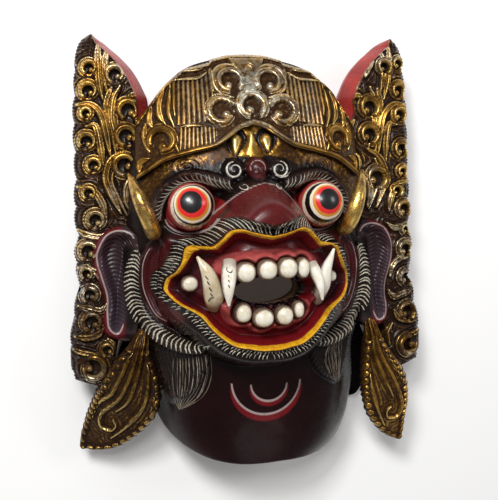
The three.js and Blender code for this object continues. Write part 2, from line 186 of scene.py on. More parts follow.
def noise2(x, y, scale, seed):
    """Smooth value noise in -1..1."""
    r = np.random.default_rng(seed)
    g = r.uniform(-1, 1, (64, 64))
    u, v = x / scale + 31.7, y / scale + 17.3
    i, j = np.floor(u).astype(int), np.floor(v).astype(int)
    fu, fv = smooth(u - i), smooth(v - j)
    i, j = i % 64, j % 64
    i1, j1 = (i + 1) % 64, (j + 1) % 64
    return (g[i, j] * (1 - fu) * (1 - fv) + g[i1, j] * fu * (1 - fv) + g[i, j1] * (1 - fu) * fv + g[i1, j1] * fu * fv)


# ---------------------------------------------------------------- mesh tools
def make(name, verts, faces, attrs=None, smooth_shade=True, flip_check=True):
    """A closed mesh from millimetre points. attrs: name -> per-point float or RGB."""
    v = np.asarray(verts, np.float64).copy()
    # nothing stands proud of the frame's own highest point
    over = np.maximum(v[:, 2] - (Z_TOP - 9.0), 0.0)
    v[:, 2] = np.where(over > 0, Z_TOP - 9.0 + 9.0 * (1 - np.exp(-over / 9.0)), v[:, 2])
    v[:, 0] = np.clip(v[:, 0], BOX_LO[0] + 0.05, BOX_HI[0] - 0.05)
    v[:, 1] = np.clip(v[:, 1], BOX_LO[1] + 0.02, BOX_HI[1] - 0.02)
    v = (v + FACE) * 0.001
    f = np.asarray(faces, np.int64)
    if attrs is not None and "paint" in attrs:
        for key, val in (("line", 99.0), ("pale", 0.0), ("rawwood", 0.0), ("lipq", 60.0), ("dulled", 0.0)):
            attrs.setdefault(key, np.full(len(v), val))
    if flip_check:
        tri = f[:, :3]
        a, b, c = v[tri[:, 0]], v[tri[:, 1]], v[tri[:, 2]]
        vol = np.einsum("ij,ij->i", a, np.cross(b, c)).sum()
        if f.shape[1] == 4:
            d = v[f[:, 3]]
            vol += np.einsum("ij,ij->i", a, np.cross(c, d)).sum()
        if vol < 0:
            f = f[:, ::-1]
    mesh = bpy.data.meshes.new(name)
    n = f.shape[1]
    mesh.vertices.add(len(v))
    mesh.vertices.foreach_set("co", v.astype(np.float32).ravel())
    mesh.loops.add(f.size)
    mesh.loops.foreach_set("vertex_index", f.astype(np.int32).ravel())
    mesh.polygons.add(len(f))
    mesh.polygons.foreach_set("loop_start", (np.arange(len(f)) * n).astype(np.int32))
    mesh.polygons.foreach_set("loop_total", np.full(len(f), n, np.int32))
    mesh.update(calc_edges=True)
    mesh.validate(clean_customdata=False)
    if smooth_shade:
        mesh.polygons.foreach_set("use_smooth", np.ones(len(mesh.polygons), bool))
    for key, val in (attrs or {}).items():
        val = np.asarray(val, np.float32)
        if val.ndim == 2:
            a = mesh.color_attributes.new(key, "FLOAT_COLOR", "POINT")
            a.data.foreach_set("color", np.hstack([val, np.ones((len(val), 1), np.float32)]).ravel())
        else:
            a = mesh.attributes.new(key, "FLOAT", "POINT")
            a.data.foreach_set("value", val.ravel())
    mesh.update()
    obj = bpy.data.objects.new(name, mesh)
    bpy.context.scene.collection.objects.link(obj)
    return obj


def grid_faces(rows, cols, ring_rows=False, ring_cols=False):
    r = np.arange(rows if ring_rows else rows - 1)
    c = np.arange(cols if ring_cols else cols - 1)
    i, j = np.meshgrid(r, c, indexing="ij")
    i, j = i.ravel(), j.ravel()
    i1, j1 = (i + 1) % rows, (j + 1) % cols
    return np.stack([i * cols + j, i * cols + j1, i1 * cols + j1, i1 * cols + j], 1)


def capped(rows, cols, verts):
    """Loft of closed loops, with both end loops pulled to a point."""
    f = grid_faces(rows, cols, False, True)
    v = np.asarray(verts, float).reshape(-1, 3)
    v = np.vstack([v, v[:cols].mean(0), v[-cols:].mean(0)])
    a, b = len(v) - 2, len(v) - 1
    j = np.arange(cols)
    j1 = (j + 1) % cols
    lo = np.stack([j1, j, np.full(cols, a), np.full(cols, a)], 1)
    up = np.stack([(rows - 1) * cols + j, (rows - 1) * cols + j1, np.full(cols, b), np.full(cols, b)], 1)
    return v, f, lo[:, :3], up[:, :3]


def make_mixed(name, v, quads, tris, attrs=None):
    """Closed mesh of quads and triangles."""
    q = np.asarray(quads)
    t = np.asarray(tris)
    allt = np.vstack([q[:, [0, 1, 2]], q[:, [0, 2, 3]], t])
    return make(name, v, allt, attrs)


def slab(name, X, Y, Z, back, extra, wall=4):
    """A closed slab: front grid (rows x cols), skirted down to the z given by back."""
    rows, cols = X.shape
    edge = np.concatenate([
        np.arange(cols), cols - 1 + cols * np.arange(1, rows), cols * (rows - 1) + np.arange(cols - 2, -1, -1),
        cols * np.arange(rows - 2, 0, -1)])
    V = np.stack([X.ravel(), Y.ravel(), Z.ravel()], 1)
    B = back.ravel()
    cx, cy = X.mean(), Y.mean()
    n = len(edge)
    quads = [grid_faces(rows, cols)]
    verts = [V]
    prev = edge
    base = len(V)
    src = [np.arange(len(V))]
    for k in range(1, wall + 1):
        t = k / wall
        p = V[edge].copy()
        p[:, 2] = V[edge][:, 2] * (1 - t) + B[edge] * t
        verts.append(p)
        src.append(edge)
        cur = base + np.arange(n)
        base += n
        j = np.arange(n)
        j1 = (j + 1) % n
        quads.append(np.stack([prev[j1], prev[j], cur[j], cur[j1]], 1))
        prev = cur
    # the back: the front's own rows, thinned to every few columns, would not match the
    # skirt, so it is a full flat copy of the grid's border fanned to rings inward
    p = V[edge]
    for k, t in enumerate([0.35, 0.7]):
        r = p.copy()
        r[:, 0] = cx + (p[:, 0] - cx) * (1 - t)
        r[:, 1] = cy + (p[:, 1] - cy) * (1 - t)
        r[:, 2] = B[edge]
        verts.append(r)
        src.append(edge)
        cur = base + np.arange(n)
        base += n
        j = np.arange(n)
        j1 = (j + 1) % n
        quads.append(np.stack([prev[j1], prev[j], cur[j], cur[j1]], 1))
        prev = cur
    c = np.array([[cx, cy, B[edge].mean()]])
    verts.append(c)
    src.append(np.array([0]))
    j = np.arange(n)
    j1 = (j + 1) % n
    tris = np.stack([prev[j1], prev[j], np.full(n, base)], 1)
    v = np.vstack(verts)
    s = np.concatenate(src)
    attrs = {k: np.asarray(a).reshape((rows * cols,) + np.asarray(a).shape[2:])[s] for k, a in extra.items()}
    return make_mixed(name, v, np.vstack(quads), tris, attrs)


def blur(a, n, wrap=False):
    """Cheap repeated box blur over a grid, for recess shading."""
    a = a.copy()
    for _ in range(n):
        p = np.pad(a, 1, mode="edge")
        if wrap:
            p[:, 0], p[:, -1] = p[:, -2], p[:, 1]
        a = (p[1:-1, :-2] + p[1:-1, 2:] + p[:-2, 1:-1] + p[2:, 1:-1] + 2 * a) / 6
    return a


# ------------------------------------------------------------ head profiles
CY = -28.0
HOLE = (1.5, -27.0, 25.0, 10.0)
HOLE_BACK = (27.0, 13.0)
CREST_MID, CREST_SIDE, MUZZLE_HALF, LOWER_DROP = 145.0, 40.0, 80.0, 17.0
NOSE_TOP, NOSE_BULGE, NOSE_ROUND = 52.0, 13.0, 30.0
EYE = dict(x=52.0, y=37.0, r=18.0, z=84.0, bulge=17.0)
RIM_WIDTH, CAVITY_DEPTH = 13.0, 78.0
CROWN_OUTLINE = [
    (-29, 103), (-15, 100.7), (0, 102), (25, 113.6), (41, 132.5), (54, 154.5), (61.8, 162.5), (66, 168.5),
    (70, 173.5), (75.7, 179.5), (82, 181.5), (86, 183.3), (90, 183.5)]
OUTLINE_L = curve([(-90, 143), (-83, 143), (-76, 143), (-69, 141.5), (-62, 138.5), (-55, 132), (-49, 122.5), (-43, 123), (-37, 128), (-32, 128), (-27, 119), (-22, 109)] + CROWN_OUTLINE[1:])
OUTLINE = curve([(-90, 143), (-84, 143.4), (-78, 146), (-72, 149.8), (-66, 152.8), (-60, 152), (-55, 146.5), (-51, 141.5), (-46, 148),
                 (-40, 145), (-34, 135), (-28, 124), (-22, 111)] + CROWN_OUTLINE[1:])
# the hollow stays inside the head proper, so the lobes behind the leaves are solid
HOLLOW_L = curve([(-90, 143), (-83, 143), (-76, 143), (-69, 141.5), (-62, 138.5), (-55, 132), (-49, 122.5), (-40, 111.5)] + CROWN_OUTLINE)
HOLLOW_R = curve([(-90, 143), (-84, 143.4), (-78, 146), (-72, 149.8), (-66, 152.8), (-60, 152), (-55, 146.5), (-51, 139.5), (-46, 131),
                  (-40, 118)] + CROWN_OUTLINE)
THROAT_EXTRA = 13.0
LIP = curve([
    (-90, 40.8), (-70, 42), (-55, 45), (-42, 46.5), (-30, 48), (-20, 50), (-13, 55), (-8, 62), (-3, 68), (2, 72),
    (8, 71), (14, 66), (22, 64), (29, 63.5), (34, 61), (37, 56.5), (42, 52), (50, 52), (58, 53), (65, 51),
    (72, 46.5), (80, 43), (90, 40.8)])
FLANK = curve([(-90, 44), (-60, 48), (-30, 53), (-5, 70), (10, 72), (30, 66), (60, 57), (90, 51)])
DOME_CREST = curve([
    (-178, 66), (-150, 76), (-120, 82), (-96, 84), (-70, 84), (-30, 84), (20, 86), (50, 90), (75, 87), (100, 79),
    (125, 69), (145, 59), (158, 50)])
DOME_HALF = curve([
    (-178, 52), (-160, 70), (-140, 78), (-120, 82), (-100, 88), (-75, 95), (-50, 102), (0, 105), (50, 104),
    (80, 100), (100, 96), (120, 90), (140, 80), (158, 64)])
DOME_EDGE = curve([
    (-178, 8), (-130, 8), (-100, 14), (-60, 22), (0, 27), (60, 28), (100, 31), (120, 36), (158, 42)])
LIP_DEPTH = curve([
    (0, 27), (0.12, 24), (0.3, 16), (0.45, 14), (0.6, 18), (0.75, 19), (0.88, 11), (0.96, 3), (1, 0)])


def lip_crest(a, y):
    z = CREST_SIDE + (CREST_MID - CREST_SIDE) * np.sqrt(np.maximum(0, 1 - (a / MUZZLE_HALF) ** 2))
    return z - LOWER_DROP * np.clip((-10 - y) / 50, 0, 1) * np.clip(1 - (a / 75) ** 2, 0, 1)


def hole_radius(th, rx=HOLE[2], ry=HOLE[3]):
    return 1 / np.hypot(np.cos(th) / rx, np.sin(th) / ry)


def dome(a, y, x=None):
    half = DOME_HALF(y)
    if x is not None:
        half = half + np.where(x > 0, THROAT_EXTRA * smooth((-75 - y) / 50), 0)
    k = np.minimum(1, a / half)
    ze = DOME_EDGE(y)
    return ze + (DOME_CREST(y) - ze) * np.power(np.maximum(0, 1 - k**2.6), 0.55)


# beard lock on each side of the jaw, as left-hand outline
LOCK = fine([(-84.5, -62), (-83, -78), (-80, -92), (-75, -107), (-67.5, -119.5), (-57, -115), (-47, -106), (-40.5, -95),
             (-37.5, -84), (-37.5, -75), (-44, -69), (-58, -66), (-72, -60)], 1.5, True)


def lock_depth(x, y):
    """Signed distance to the beard locks (negative inside); the right one is shorter."""
    return np.where(x < 0, signed(x, y, LOCK), signed(-x, -63 + (y + 63) / 0.84, LOCK))


# features traced on the left half, in mm; mirrored for the other half
SOCKET = fine([(-67.5, 27), (-66, 41.5), (-58.5, 50.5), (-49.6, 52), (-40.1, 49), (-33, 43.2), (-26.5, 38), (-32.5, 28.5),
               (-40, 19.5), (-51, 16.5), (-62, 19.5)], 1.5, True)
BROW_OUT = fine([(-79.7, 20.1), (-77.4, 34.3), (-72.3, 45.5), (-64.5, 53.8), (-52.9, 60.2), (-40.4, 60), (-27, 56.4), (-17, 53)], 1.5)
BROW_IN = fine([(-72.1, 24.5), (-69.5, 38.9), (-63, 48), (-53.3, 54), (-42.8, 53.6), (-31.4, 49.3), (-19.8, 47.6)], 1.5)
WHISK_OUT = fine([(-92.4, 3.6), (-96.2, -2.3), (-99.5, -10.7), (-101.1, -21.6), (-100.8, -31.4), (-99.3, -41.2), (-94.8, -51.3),
                  (-88.4, -59), (-79, -66.9), (-66.9, -72.6), (-54.6, -75.2), (-44.6, -74), (-41.9, -67.9)], 1.5)
WHISK_IN = fine([(-87.9, 2.5), (-88.9, -9.5), (-89.9, -21.5), (-89, -31.3), (-85.8, -41.2), (-78.9, -51.3), (-69.4, -59.2),
                 (-59.8, -64.6), (-48.9, -67.7), (-42, -66)], 1.5)
CHEEK = fine([(-77.7, 7.4), (-82.6, 1.7), (-86.5, -8.9), (-86.9, -23.2), (-83.8, -35.3), (-77.1, -47.6), (-65.4, -54.2)], 1.5)
NOSE_LINE = fine([(-45.5, 13.1), (-39.4, 24.2), (-29.5, 34.6), (-17.3, 44.2), (-3.4, 50.3), (6.1, 50.8), (17.1, 45.6),
                  (26.4, 33.2), (35.2, 22.1), (44, 11.7)], 1.5)


def mid_line(a, b, n=60):
    def samp(p):
        d = np.concatenate([[0], np.cumsum(np.hypot(*np.diff(p, axis=0).T))])
        t = np.linspace(0, d[-1], n)
        return np.stack([np.interp(t, d, p[:, 0]), np.interp(t, d, p[:, 1])], 1)

    A, B = samp(a), samp(b)
    return (A + B) / 2, np.hypot(*(A - B).T) / 2, A, B


BROW_MID, BROW_W, BROW_A, BROW_B = mid_line(BROW_OUT, BROW_IN)
WHISK_MID, WHISK_W, WHISK_A, WHISK_B = mid_line(WHISK_OUT, WHISK_IN)


def head_z(x, y, detail=True):
    """Height of the carved face, the CAD's own profile with the finer modelling added."""
    a = np.abs(x)
    z = dome(a, y, x)
    ax = -a  # the left-hand tracings serve both halves
    if detail:
        ld = lock_depth(x, y)
        lean = np.where(x < 0, x, -x) * 0.97 + y * 0.24
        z = z + (8.5 * smooth((-ld + 0.6) / 7.5) ** 0.8 + 0.55 * np.cos(lean * 2.2 + np.sin(y * 0.22) * 1.6) * smooth(-ld / 3)) * (ld < 2)
        # brow roll
        m, d, s, _ = near_line(ax, y, BROW_MID, 9)
        w = np.interp(s, np.linspace(0, 1, 60), BROW_W)
        end = smooth(s / 0.06) * smooth((1 - s) / 0.05)
        z[m] += 7.5 * end * np.sqrt(np.maximum(0, 1 - (d / (w + 2.5)) ** 2)) * (0.75 + 0.25 * s)
        # whisker roll
        m, d, s, _ = near_line(ax, y, WHISK_MID, 12)
        w = np.interp(s, np.linspace(0, 1, 60), WHISK_W)
        end = smooth(s / 0.05) * smooth((1 - s) / 0.05)
        z[m] += 5.5 * end * np.sqrt(np.maximum(0, 1 - (d / (w + 2)) ** 2))
        # cheek fold inside it
        m, d, s, _ = near_line(ax, y, CHEEK, 9)
        z[m] += 2.2 * ridge(d, 3.5) * smooth(s / 0.1) * smooth((1 - s) / 0.1) - 1.2 * ridge(d - 4.5, 1.4)
    else:
        wr = np.hypot((a - 45) / 50.5, (y + 12) / 59)
        wa = np.degrees(np.arctan2(y + 12, a - 45))
        z = z + 6 * ridge((wr - 1) * 55, 5.5) * smooth((25 - wa) / 12) * smooth((wa + 98) / 12)
    er = np.hypot(a - EYE["x"], y - EYE["y"])
    z = z - 6 * smooth((24 - er) / 6)
    # forehead knob and the curled marks beside it
    kd = np.hypot(a, y - 63.5)
    z = z + 9 * np.sqrt(np.maximum(0, 1 - (kd / 9.5) ** 2)) ** 1.2
    kd = np.hypot(a - 17.5, y - 62.3)
    z = z + 6 * np.sqrt(np.maximum(0, 1 - (kd / 9) ** 2))
    kd = np.hypot(a - 13, y - 49.5)
    z = z + 3 * np.sqrt(np.maximum(0, 1 - (kd / 4.5) ** 2))
    # muzzle
    th = np.arctan2(y - CY, a)
    deg = np.degrees(th)
    r = np.hypot(a, y - CY)
    rl = LIP(deg)
    q = r - rl
    c = lip_crest(a, y)
    rh = hole_radius(th)
    t = np.clip((r - rh) / (rl - rh), 0, 1)
    zin = c - LIP_DEPTH(t)
    up = smooth((deg - 18) / 17)
    u = np.maximum(0, (r - FLANK(deg) - 3) / np.where(deg < -30, 14.0, 18.0))
    m = c - 3.5 * smooth(q / 3) - 50 * u * u * (1 - up)
    top = NOSE_TOP + 1 - 0.02 * a * a
    v = np.clip((y - (top - NOSE_ROUND)) / (NOSE_ROUND + 9), 0, 1)
    step = smooth((q - 8.5) / 4.5) if detail else smooth((q - 7) / 10)
    if detail:
        # the nose hangs over the moustache in a soft fold
        low = 14.6 + 9.5 * smooth((a - 3) / 20) - 0.35 * np.maximum(0, a - 24)
        step = smooth((y - low) / 5) * smooth((q - 4) / 3)
    m = m + up * (3.5 + NOSE_BULGE * ridge(a, 26)) * step
    m = m - up * np.maximum(0, m - z + 6) * (0.6 * v * v + 0.4 * smooth(v))
    zout = smax(z, m, 5)
    return np.where(q <= 0, zin, zout)


# ------------------------------------------------------------------ colours
MAROON = srgb(72, 21, 22)
DARKFACE = srgb(27, 17, 15)
NOSE_RED = srgb(84, 24, 25)
THROAT = srgb(36, 8, 11)
LIPRED = srgb(118, 22, 28)
GUM = srgb(166, 74, 72)
LIDRED = srgb(128, 30, 30)
BLACK = srgb(18, 14, 14)
GREY = srgb(150, 138, 134)
WOOD = srgb(170, 128, 84)


def mix(a, b, t):
    t = np.asarray(t)[..., None]
    return a * (1 - t) + b * t


# ------------------------------------------------------------------ the head
def build_head():
    n = 500
    inner = 34
    outer = 108
    th = np.linspace(0, 2 * np.pi, n, endpoint=False) - np.pi / 2
    c, s = np.cos(th), np.sin(th)
    deg = np.degrees(np.arcsin(np.clip(s, -1, 1)))
    rl, rh = LIP(deg), hole_radius(th)
    ro = np.where(c < 0, OUTLINE_L(deg), OUTLINE(deg))
    hx, hy = HOLE[0] + rh * c, HOLE[1] + rh * s
    lx, ly = rl * c, CY + rl * s
    t_in = np.linspace(0, 1, inner) ** 0.9
    X = [hx + (lx - hx) * t for t in t_in]
    Y = [hy + (ly - hy) * t for t in t_in]
    T = [np.full(n, -(1 - t)) for t in t_in]
    for u in np.linspace(0, 1, outer + 1)[1:]:
        g = 0.72 * u + 0.28 * u * u
        X.append((rl + (ro - rl) * g) * c)
        Y.append(CY + (rl + (ro - rl) * g) * s)
        T.append(np.full(n, u))
    X, Y = np.array(X), np.array(Y)
    Z = head_z(X, Y)
    a = np.abs(X)
    r = np.hypot(X, Y - CY)
    q = r - LIP(np.degrees(np.arctan2(Y - CY, a)))
    tin = np.array(T)
    # --- mouth lining: gum ridge scalloped round the teeth
    for tx, ty, tr in [(x_, y_, max(rx, ry)) for x_, y_, _, rx, ry in TEETH]:
        d = np.hypot(X - tx, Y - ty)
        Z += np.where(q < 0, -2.6 * smooth((tr + 1.6 - d) / 1.5) + 1.9 * ridge(d - tr - 3.1, 1.5), 0)
    paint = np.zeros(X.shape + (3,))
    # --- base coat: very dark brown, warming to maroon on nose, cheeks and throat
    paint[:] = DARKFACE
    ax = -a
    nose = np.minimum(signed(X, Y, np.vstack([NOSE_LINE, [(44, 11.7), (27, 24.5), (20, 23.5), (12, 19), (3, 15), (-4, 15),
                                              (-12, 18.5), (-20, 23.5), (-28, 26), (-36, 19)]])), 99)
    cheek_poly = fine([(-26, 36), (-36, 15), (-50, 12), (-64, 12), (-74, 8), (-83, 0), (-86.5, -9), (-87, -23), (-83.8, -35.3),
                       (-77.1, -47.6), (-66, -54.2), (-60, -40), (-72, -20), (-60, 10), (-40, 26)], 1.5, True)
    cheek = signed(ax, Y, cheek_poly)
    paint = mix(paint, MAROON * 0.8, smooth((6 - cheek) / 9))
    paint = mix(paint, NOSE_RED, smooth((1.2 - nose) / 2.0))
    throat = smooth((-76 - Y) / 6) * smooth((78 - a) / 8)
    paint = mix(paint, THROAT * (0.75 + 0.25 * noise2(X, Y, 22, 3))[..., None], throat * (q > 0))
    # painted shade: the throat's sides, towards the leaves, are darkened to near black
    throat_side_shade = smooth((a - 62) / 14) * smooth((-66 - Y) / 6) * smooth((Y + 150) / 22)
    paint = mix(paint, srgb(17, 12, 12), throat_side_shade * (q > 10))
    # painted shadow: a dark band under the chin, below the lip fringe
    chin_shadow = ridge(Y + 88, 9) * smooth((52 - a) / 20) * (q > 10)
    paint = mix(paint, THROAT * 0.35, 0.6 * chin_shadow)
    # beard locks, near black
    paint = mix(paint, srgb(30, 23, 21), smooth((1.5 - lock_depth(X, Y)) / 2.0) * (q > 10))
    # painted crescents on the throat: a grey arc with a red one under it
    line = np.full(X.shape, 99.0)
    for cx_, cy_, R_, wd in [(5.0, -100.6, 27.4, 6.2), (7.0, -103.0, 14.4, 4.6)]:
        dr = np.hypot(X - cx_, Y - cy_) - R_
        ang = np.degrees(np.arctan2(Y - cy_, X - cx_))
        along = smooth((-ang + 2) / 10) * smooth((ang + 183) / 10) * (ang < 6)
        band = smooth((dr - 0.2) / 0.8) * smooth((wd * np.sin(np.radians(np.clip(-ang, 0, 180))) ** 0.7 - dr) / 0.9)
        paint = mix(paint, srgb(112, 20, 26), band * along)
        line = np.minimum(line, np.where(along > 0.35, np.abs(dr) * 0.72 + 0.25 * np.abs(ang + 90) / 90, 99))
    knob = np.hypot(X, Y - 63.5)
    paint = mix(paint, MAROON * 0.85, smooth((9.5 - knob) / 1.5))
    # eyelids
    lid = signed(ax, Y, SOCKET)
    paint = mix(paint, LIDRED, smooth((0.6 - lid) / 1.0))
    paint = mix(paint, BLACK, 0.7 * ridge(lid - 1.8, 1.1))
    # brow and whisker rolls are near black under their painted hair
    m, d, s_, _ = near_line(ax, Y, BROW_MID, 10)
    w = np.interp(s_, np.linspace(0, 1, 60), BROW_W)
    paint[m] = mix(paint[m], srgb(40, 30, 27), smooth((w + 1 - d) / 1.5))
    m, d, s_, _ = near_line(ax, Y, WHISK_MID, 10)
    w = np.interp(s_, np.linspace(0, 1, 60), WHISK_W)
    paint[m] = mix(paint[m], srgb(34, 27, 24), smooth((w + 1.5 - d) / 1.5))
    # hair fringe round the lips
    fr = FRINGE_W(np.degrees(np.arctan2(Y - CY, a)))
    paint = mix(paint, srgb(20, 16, 16), smooth((fr + 0.5 - q) / 1.0) * (q > 0.5))
    # fine pale brush lines: over the nose, along the cheek, under the eye, on the knob
    for pts, xx, reach, k_ in [(NOSE_LINE, X, 3, 0.75), (CHEEK, ax, 3, 0.5)]:
        m, d, s_, _ = near_line(xx, Y, pts, reach)
        line[m] = np.minimum(line[m], d / k_ + 1.6 * smooth((0.08 - np.minimum(s_, 1 - s_)) / 0.06))
    line = np.where((Y < 27) & (np.abs(lid - 1.2) < 3), np.minimum(line, np.abs(lid - 1.2) * 1.05), line)
    kr = np.hypot(X, Y - 63.5)
    ka = np.degrees(np.arctan2(Y - 63.5, X))
    line = np.where((ka > -28) | (ka < -152), np.minimum(line, 0.25 + np.abs(kr - 5.6) * 0.95), line)
    line = np.where((ka > -70) | (ka < -150), np.minimum(line, 0.35 + np.abs(np.hypot(X, Y - 61.8) - 1.7) * 0.95), line)
    # forehead curl knobs
    paint = mix(paint, BLACK, smooth((9.0 - np.hypot(a - 17.5, Y - 62.3)) / 1.5))
    # mouth lining, with painted shade: darker deeper into the mouth and darkest in its corners
    inside_lip = np.where(q <= 0.5, 1.0, 0.0)
    lip_col = mix(np.broadcast_to(LIPRED, paint.shape), LIPRED * 0.42, smooth((-q - 3) / 12) * 0.55)
    corner = smooth((a - 34) / 20)
    lip_col = mix(lip_col, srgb(54, 22, 28), 0.9 * corner * smooth((-q - 1.5) / 5))
    paint = mix(paint, lip_col, inside_lip)
    # gums
    gum_up = signed(X, Y, fine([(-39, -9), (-33, -0.5), (-18, 2.5), (-3.5, 3.4), (14.8, 3.4), (31, 0.5), (40, -9), (36, -16), (24, -15),
                                (0, -15), (-20, -17), (-33, -14)], 1.5, True))
    gum_dn = signed(X, Y, fine([(-34, -40), (-28, -51), (-15, -54.5), (-4.5, -59), (5, -56), (15, -55.5), (27.8, -50.5), (34, -44),
                                (28, -35), (12, -36), (-5, -37), (-20, -35), (-30, -34)], 1.5, True))
    paint = mix(paint, GUM, smooth((0.7 - gum_up) / 1.2) * inside_lip)
    paint = mix(paint, GUM * 0.86, smooth((0.7 - gum_dn) / 1.2) * inside_lip)
    # painted shade: black in the sunken gap round each tooth
    for tx, ty, tr in [(x_, y_, max(rx, ry)) for x_, y_, _, rx, ry in TEETH]:
        d = np.hypot(X - tx, Y - ty)
        paint = mix(paint, BLACK, 0.85 * smooth((tr + 2.0 - d) / 0.9) * inside_lip)
    # deep hole edge in shadow
    paint = mix(paint, srgb(30, 20, 24), smooth((0.16 + tin) / 0.10 * 0 + (0.13 - (1 + np.minimum(tin, 0))) / 0.08) * inside_lip)
    # gold: the forehead leaf and rubbed gold on the brow crest
    gold = np.zeros(X.shape)
    leaf = signed(X, Y, fine([(-36, 66), (-31, 76), (-24, 86), (-12.5, 94.5), (0, 97.5), (12.5, 94.5), (24, 86), (31, 76), (36, 66),
                              (24, 71), (12, 73.5), (0, 73), (-12, 73.5), (-24, 71)], 1.5, True))
    gold = np.maximum(gold, 0.9 * smooth((1.0 - leaf) / 1.5) * (knob > 10))
    brow_band = signed(ax, Y, fine([(-88, 52), (-80, 60), (-66, 71), (-48, 76), (-34, 80), (-30, 74), (-38, 68), (-52, 67), (-66, 60),
                                    (-76, 48), (-84, 34), (-90, 38)], 1.5, True))
    gold = np.maximum(gold, 0.42 * smooth((3 - brow_band) / 5))
    # larger petals inside the arch are modelled by height, so gold falls on what is raised
    petal = np.zeros(X.shape)
    dark = np.zeros(X.shape)
    for cx_, tx_, ty_ in [(-14.0, -15.9, 71.5), (9.4, 9.8, 74.5)]:
        top_y, rad = 85.2, 5.3
        dx, dy = X - cx_, Y - top_y
        low = np.clip((top_y - Y) / (top_y - ty_), 0, 1)
        mid_x = dx - (tx_ - cx_) * low
        e = np.where(dy > 0, np.hypot(dx / rad, dy / 6.0), np.abs(mid_x) / np.maximum(rad * (1 - low**1.5), 0.05) + 0 * dy)
        e = np.where(Y < ty_, 9, e)
        petal = np.maximum(petal, np.sqrt(np.maximum(0, 1 - (e / 0.82) ** 2)))
        dark = np.maximum(dark, smooth((1.75 - e) / 0.25) * smooth((e - 0.8) / 0.15))
    span = np.clip((94 - Y) / 22, 0, 1)
    cen_e = np.abs(X + 2.2 - 0.3 * span) / (0.9 + 7.2 * span**1.2)
    cen = np.sqrt(np.maximum(0, 1 - cen_e**2)) * smooth((94 - Y) / 3) * smooth((Y - 71) / 2)
    petal = np.maximum(petal, cen)
    Z += 2.8 * petal * (leaf < 2) - 1.6 * dark * (leaf < 1)
    gold = np.where(leaf < 1, np.clip(gold * (0.85 - 0.5 * smooth((a - 17) / 5)) * (1 - dark) + np.minimum(1, petal * 3), 0, 1) * (1 - 0.9 * dark * (petal < 0.2)), gold)
    # shallow contour wrinkles carved into the dark brow crest
    wr = np.sin(np.hypot((a - 52) / 1.6, (Y - 66)) * 2.2) * ridge(np.hypot((a - 52) / 1.7, Y - 66), 7)
    Z += 0.7 * wr
    fine_n = noise2(X, Y, 6, 5) * 0.16 + noise2(X, Y, 14, 6) * 0.3
    Z += fine_n * (q > 3) * smooth((145 - np.hypot(X, Y + 10)) / 8)
    # painted shade and painted light, with wear: depth below the blurred surface darkens the hollows, and lightens,
    # rubs and paler-gilds the raised parts
    cav = np.clip((blur(Z, 10, True) - Z) * 0.55, -1, 1)
    Q = q.copy()
    rows = [(X, Y, Z)]
    col, gl, cv, qq = [paint], [gold], [cav], [Q]
    # wall, rim, hollow
    ex, ey, ez = X[-1], Y[-1], Z[-1]
    lip_n = 7
    for k in range(1, lip_n + 1):
        t = k / lip_n
        g = 1 + 0.004 * math.sin(math.pi * min(t, 1))
        rows.append((ex * g, CY + (ey - CY) * g, ez * (1 - t)))
    wr_ = 24
    for k in range(1, wr_ + 1):
        sft = 1 - (k - 1) / (wr_ - 1)
        rb = hole_radius(th, *HOLE_BACK)
        bx, by = HOLE[0] + rb * c, HOLE[1] + rb * s
        rr = np.minimum(ro, np.where(c < 0, HOLLOW_L(deg), HOLLOW_R(deg))) - RIM_WIDTH
        ox, oy = rr * c, CY + rr * s
        x_, y_ = bx + (ox - bx) * sft, by + (oy - by) * sft
        z_ = CAVITY_DEPTH * (1 - sft**2.4) ** 0.8
        z_ = z_ + 0.35 * np.sin(x_ * 0.9 + 3 * noise2(x_, y_, 18, 8)) * min(1, 4 * (1 - sft))
        rows.append((x_, y_, z_))
    extra = len(rows) - 1
    X2 = np.vstack([rows[0][0]] + [r_[0][None] for r_ in rows[1:]])
    Y2 = np.vstack([rows[0][1]] + [r_[1][None] for r_ in rows[1:]])
    Z2 = np.vstack([rows[0][2]] + [r_[2][None] for r_ in rows[1:]])
    wood = np.zeros(X2.shape)
    wood[-wr_:] = 1
    wood[-wr_ - 1] = 1
    P = np.concatenate([paint, np.broadcast_to(srgb(58, 22, 18), (extra, n, 3))])
    P[-wr_ - 1:] = WOOD
    G = np.concatenate([gold, np.zeros((extra, n))])
    C_ = np.concatenate([cav, np.zeros((extra, n))])
    Q2 = np.concatenate([Q, np.full((extra, n), 60.0)])
    TI = np.concatenate([tin, np.full((extra, n), 1.0)])
    v = np.stack([X2.ravel(), Y2.ravel(), Z2.ravel()], 1)
    f = grid_faces(len(X2), n, True, True)
    return make("mask_head", v, np.vstack([f[:, [0, 1, 2]], f[:, [0, 2, 3]]]), {
        "paint": P.reshape(-1, 3), "gold": G.ravel(), "cav": C_.ravel(), "lipq": Q2.ravel(), "rawwood": wood.ravel(),
        "line": np.concatenate([line, np.full((extra, n), 99.0)]).ravel()})


# ------------------------------------------------------- carved ornament
def scroll(cx, cy, r, start, turns=1.15, tail=0.25, hand=1):
    """Centre line of a curl: it winds in from its open end towards a bead."""
    n = 40
    t = np.linspace(0, 1, n)
    ang = math.radians(start) + hand * t * turns * 2 * math.pi
    rr = r * (1 - (1 - tail) * t**1.6)
    return np.stack([cx + rr * np.cos(ang), cy + rr * np.sin(ang)], 1)


